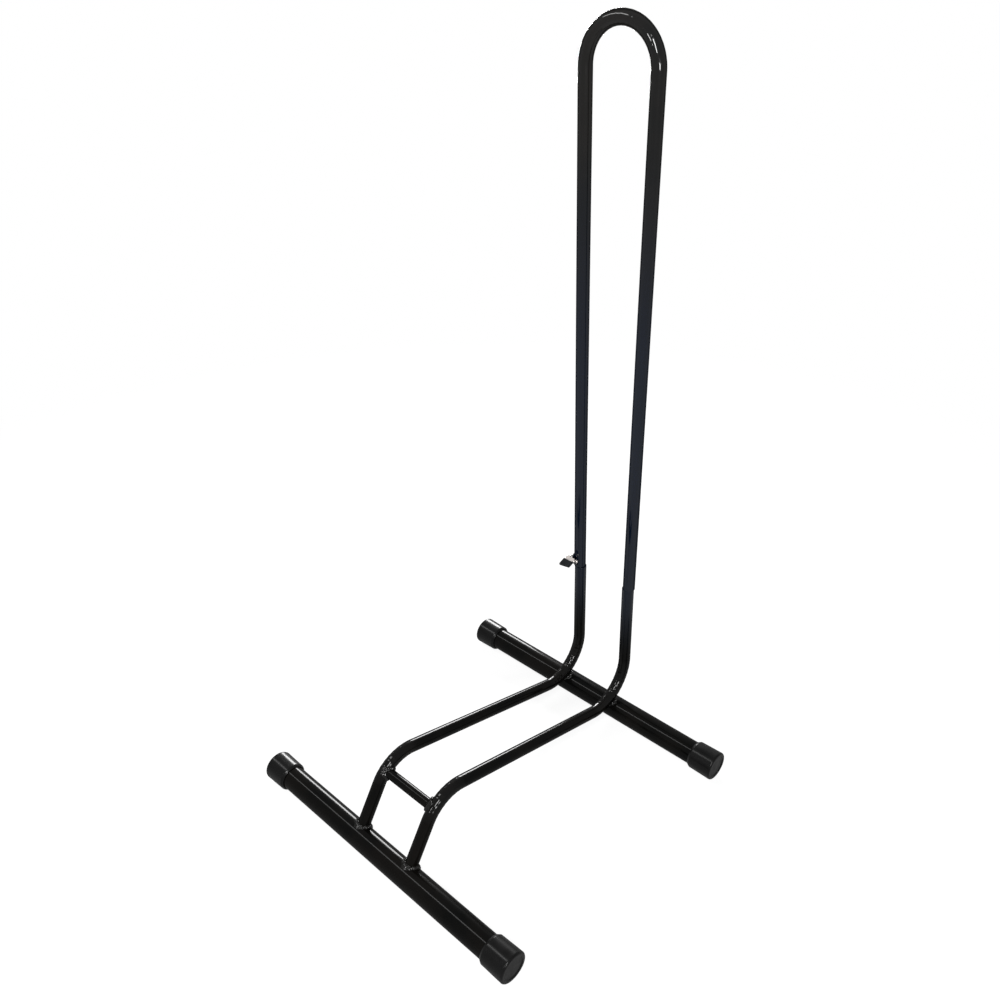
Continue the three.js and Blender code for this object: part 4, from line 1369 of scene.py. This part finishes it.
class RACK_OT_catch_lever(BikeRackOperator, bpy.types.Operator):
    """Builds the plated lever: a snail cam, the thumb plate over it and a drooping tongue"""

    bl_idname = "rack.catch_lever"
    bl_label = "Catch Lever"

    def execute(self, context):
        tubes, sizes = context.scene.rack_tubes, context.scene.rack_catch
        catch = CatchFrame(tubes, sizes)
        left, right = catch.plate
        leg, gap, thick = catch.leg_radius, tubes.fit_gap, sizes.plate_thickness
        high, low = sizes.shoulder, sizes.shoulder - sizes.corner
        plate = np.concatenate([
            [(left, -sizes.plate_reach), (right, -sizes.plate_reach), (right, -sizes.plate_rear)],
            [(-leg, -sizes.plate_rear), (-leg - gap, sizes.heel)],
            rounded_corner((left + sizes.corner, high), (left, high), (left, low)),
        ])
        hub = sizes.hub_radius
        neck = sizes.plate_top - thick / 2
        cam = np.concatenate([
            [(-hub - thick, neck)],
            arc((0.0, 0.0), hub, 180.0, 270.0, 12)[:-1],
            rounded_corner((0.0, -hub), (catch.cam_reach, -hub), (catch.cam_reach, 0.0), 12),
            arc((0.0, 0.0), hub, 40.0, 115.0, 12),
            [(-sizes.plate_rear - gap, neck)],
        ])
        near, far = left + sizes.tongue_inset, right - sizes.tongue_inset
        end, root = -sizes.tongue_length, thick / 2
        tongue = np.array([(near, end), (far, end), (far, root), (near, root)])
        points, quads, polygons = joined(
            prism(plate, (sizes.plate_top - thick, sizes.plate_top), catch.flat),
            prism(cam, catch.cam, catch.upright),
            prism(tongue, (-thick, 0.0), catch.drooped),
        )
        zinc = zinc_plate(context.scene.rack_finishes)
        piece = catch.piece("catch_lever", zinc, points, quads, polygons=polygons)
        soften_edges(piece, 0.3 * MM)
        return {"FINISHED"}


class RACK_OT_catch_grip(BikeRackOperator, bpy.types.Operator):
    """Builds the black grip on the lever's drooping end"""

    bl_idname = "rack.catch_grip"
    bl_label = "Catch Grip"

    def execute(self, context):
        sizes, looks = context.scene.rack_catch, context.scene.rack_finishes
        catch = CatchFrame(context.scene.rack_tubes, sizes)
        left, right = catch.plate
        end, corner = -sizes.grip_length, sizes.grip_corner
        short = end + sizes.grip_skew
        outline = np.concatenate([
            [(right, -sizes.grip_start), (left, -sizes.grip_start)],
            rounded_corner((left, end + corner), (left, end), (left + corner, end)),
            rounded_corner((right - corner, short), (right, short), (right, short + corner)),
        ])
        proud = (sizes.grip_thickness - sizes.plate_thickness) / 2
        points, quads, polygons = prism(outline, (proud - sizes.grip_thickness, proud), catch.drooped)
        finish = moulded_plastic("satin_grip", looks, looks.grip, depth=0.00001)
        piece = catch.piece("catch_grip", finish, points, quads, polygons=polygons)
        soften_edges(piece, 0.8 * MM, segments=5)
        return {"FINISHED"}


class RACK_OT_stage(BikeRackOperator, bpy.types.Operator):
    """Builds the floor, the surroundings, the lamps and the camera"""

    bl_idname = "rack.stage"
    bl_label = "Stage"

    def execute(self, context):
        scene = context.scene
        scene.view_settings.view_transform = "Standard"
        floor_disc(scene.rack_stage)
        surroundings(scene, scene.rack_stage)
        strip_lamps(scene, scene.rack_stage)
        photo_camera(scene)
        return {"FINISHED"}


def floor_disc(look):
    """The floor: a disc from two polar parameters, radius and turn, at z = 0."""
    radius = np.linspace(0.0, 9.0, 10)[1:, None]
    turn = np.linspace(0.0, 2 * math.pi, 96, endpoint=False)
    x = radius * np.cos(turn)
    points = np.stack([x, radius * np.sin(turn), np.zeros_like(x)], axis=-1).reshape(-1, 3)
    points = np.concatenate([points, np.zeros((1, 3))])
    # Rings run outwards, so their quads are turned over to face up.
    quads = grid_faces(len(radius), len(turn), closed_rows=False)[:, ::-1]
    triangles = pole_faces(np.arange(len(turn)), len(points) - 1, True)[:, ::-1]
    mesh = bpy.data.meshes.new("floor")
    mesh.from_pydata(points.tolist(), [], quads.tolist() + triangles.tolist())
    mesh.update()
    floor = bpy.data.objects.new("floor", mesh)
    bpy.context.scene.collection.objects.link(floor)
    material = bpy.data.materials.new("pale_floor")
    material.use_nodes = True
    tree = material.node_tree
    tree.nodes.clear()
    out = add_node(tree, "ShaderNodeOutputMaterial")
    plain = add_node(tree, "ShaderNodeBsdfDiffuse", {"Color": (*look.floor, 1.0)})
    white = add_node(tree, "ShaderNodeEmission", {"Color": WHITE, "Strength": 1.0})
    # Seen directly, the floor turns to the surroundings' white away from the rack.
    place = add_node(tree, "ShaderNodeTexCoord")
    away = add_node(tree, "ShaderNodeVectorMath", operation="LENGTH")
    fade = eased(tree, 0.45, 1.6, look.floor_white, 1.0)
    whiteness = add_node(tree, "ShaderNodeMath", operation="MULTIPLY")
    mix = add_node(tree, "ShaderNodeMixShader")
    wire(
        tree,
        (place, "Object", away, 0),
        (away, "Value", fade, "Value"),
        (fade, "Result", whiteness, 0),
        (seen_directly(tree), "Value", whiteness, 1),
        (whiteness, "Value", mix, "Fac"),
        (plain, "BSDF", mix, 1),
        (white, "Emission", mix, 2),
        (mix, "Shader", out, "Surface"),
    )
    mesh.materials.append(material)


def surroundings(scene, look):
    """White all round where it is seen, and a plain level of light from it."""
    world = bpy.data.worlds.new("surroundings")
    scene.world = world
    world.use_nodes = True
    tree = world.node_tree
    tree.nodes.clear()
    out = add_node(tree, "ShaderNodeOutputWorld")
    light = add_node(tree, "ShaderNodeBackground", {"Color": WHITE, "Strength": look.ambient})
    white = add_node(tree, "ShaderNodeBackground", {"Color": WHITE, "Strength": 1.0})
    mix = add_node(tree, "ShaderNodeMixShader")
    wire(
        tree,
        (seen_directly(tree), "Value", mix, "Fac"),
        (light, "Background", mix, 1),
        (white, "Background", mix, 2),
        (mix, "Shader", out, "Surface"),
    )


def strip_lamp(scene, name, place, aim, wide, tall, glow):
    """A rectangular lamp at a place that faces a point, with its width level."""
    lamp = bpy.data.lights.new(name, "AREA")
    lamp.shape = "RECTANGLE"
    lamp.size = wide
    lamp.size_y = tall
    # A flat lamp's power is pi times its area times the brightness of its face.
    lamp.energy = math.pi * wide * tall * glow
    holder = bpy.data.objects.new(name, lamp)
    scene.collection.objects.link(holder)
    back = unit(np.asarray(place) - np.asarray(aim))
    right = unit(np.cross(Z_AXIS, back))
    matrix = np.eye(4)
    matrix[:3] = np.stack([right, np.cross(back, right), back, place], axis=-1)
    holder.matrix_world = Matrix(matrix.tolist())
    holder.visible_camera = False


def strip_lamps(scene, look):
    """The lamps, placed where the rack's highlights come from.

    A tall window behind on the left draws the white lines along the tubes, and a long lamp high on
    the left the grey ones. The small ones in front and on the left give the bends, the beads and
    the hoop's top their glints, and a dim one on the right lights the end faces of the caps.
    Each row holds the name, the place, the aim, the width, the height and the share of the glow.
    """
    rack = (0.0, 0.0, 0.1)
    hoop_top = (0.0, 0.2, 0.85)
    rows = (
        ("tall_window", (-1.5, 1.7, 0.84), (-1.4, 0.0, 0.2), 0.72, 0.62, 1.45),
        ("high_left", (-1.25, -0.75, 1.85), (-1.25, 0.0, 0.0), 1.4, 0.22, 0.32),
        ("left_side", (-2.0, 0.7, 1.6), hoop_top, 0.3, 0.16, 0.6),
        ("over_camera", (0.6, -0.95, 1.45), hoop_top, 0.18, 0.5, 1.3),
        ("by_camera", (1.2, -0.85, 0.85), rack, 0.34, 0.3, 0.9),
        ("front_high", (-0.2, -1.9, 1.4), hoop_top, 0.2, 0.3, 0.9),
        ("right_front", (1.5, -0.9, 0.9), rack, 0.7, 0.5, 0.03),
    )
    for *row, part in rows:
        strip_lamp(scene, *row, look.strip_glow * part)


def photo_camera(scene):
    """The camera that sees the rack as the photograph does."""
    camera = bpy.data.cameras.new("photo_camera")
    camera.lens = 34.3625
    camera.sensor_width = 36.0
    holder = bpy.data.objects.new("photo_camera", camera)
    holder.location = (0.63482, -0.65165, 0.95367)
    holder.rotation_euler = [math.radians(value) for value in (59.6385, 0.5818, 43.5804)]
    scene.collection.objects.link(holder)
    scene.camera = holder


# ---------------------------------------------------------------- the add-on


OPERATORS = (
    RACK_OT_base_tubes,
    RACK_OT_end_caps,
    RACK_OT_rails,
    RACK_OT_crossbar,
    RACK_OT_hoop,
    RACK_OT_spigots,
    RACK_OT_collar_welds,
    RACK_OT_saddle_welds,
    RACK_OT_catch_bracket,
    RACK_OT_catch_pin,
    RACK_OT_catch_lever,
    RACK_OT_catch_grip,
    RACK_OT_stage,
)


class RACK_PT_panel(bpy.types.Panel):
    """Lists the rack's pieces and its sizes"""

    bl_idname = "RACK_PT_panel"
    bl_label = "Bike Rack"
    bl_space_type = "VIEW_3D"
    bl_region_type = "UI"
    bl_category = "Bike Rack"

    def draw(self, context):
        for operator in OPERATORS:
            self.layout.operator(operator.bl_idname)
        for label, group in GROUPS.items():
            box = self.layout.box()
            box.label(text=group.bl_rna.name)
            for name in group.__annotations__:
                box.prop(getattr(context.scene, label), name)


GROUPS = {
    "rack_tubes": TubeSizes,
    "rack_caps": CapSizes,
    "rack_catch": CatchSizes,
    "rack_welds": WeldSizes,
    "rack_finishes": Finishes,
    "rack_stage": StageLook,
}


def register():
    """Registers the groups, operators and panel, and puts the groups on the scene."""
    for label, group in GROUPS.items():
        bpy.utils.register_class(group)
        setattr(bpy.types.Scene, label, bpy.props.PointerProperty(type=group))
    for operator in OPERATORS:
        bpy.utils.register_class(operator)
    bpy.utils.register_class(RACK_PT_panel)


def unregister():
    """Takes back what register did, in the opposite order."""
    bpy.utils.unregister_class(RACK_PT_panel)
    for operator in reversed(OPERATORS):
        bpy.utils.unregister_class(operator)
    for label, group in reversed(GROUPS.items()):
        delattr(bpy.types.Scene, label)
        bpy.utils.unregister_class(group)


def main():
    """Builds every piece and the stage."""
    register()
    bpy.ops.rack.base_tubes()
    bpy.ops.rack.end_caps()
    bpy.ops.rack.rails()
    bpy.ops.rack.crossbar()
    bpy.ops.rack.hoop()
    bpy.ops.rack.spigots()
    bpy.ops.rack.collar_welds()
    bpy.ops.rack.saddle_welds()
    bpy.ops.rack.catch_bracket()
    bpy.ops.rack.catch_pin()
    bpy.ops.rack.catch_lever()
    bpy.ops.rack.catch_grip()
    bpy.ops.rack.stage()


if __name__ == "__main__":
    main()
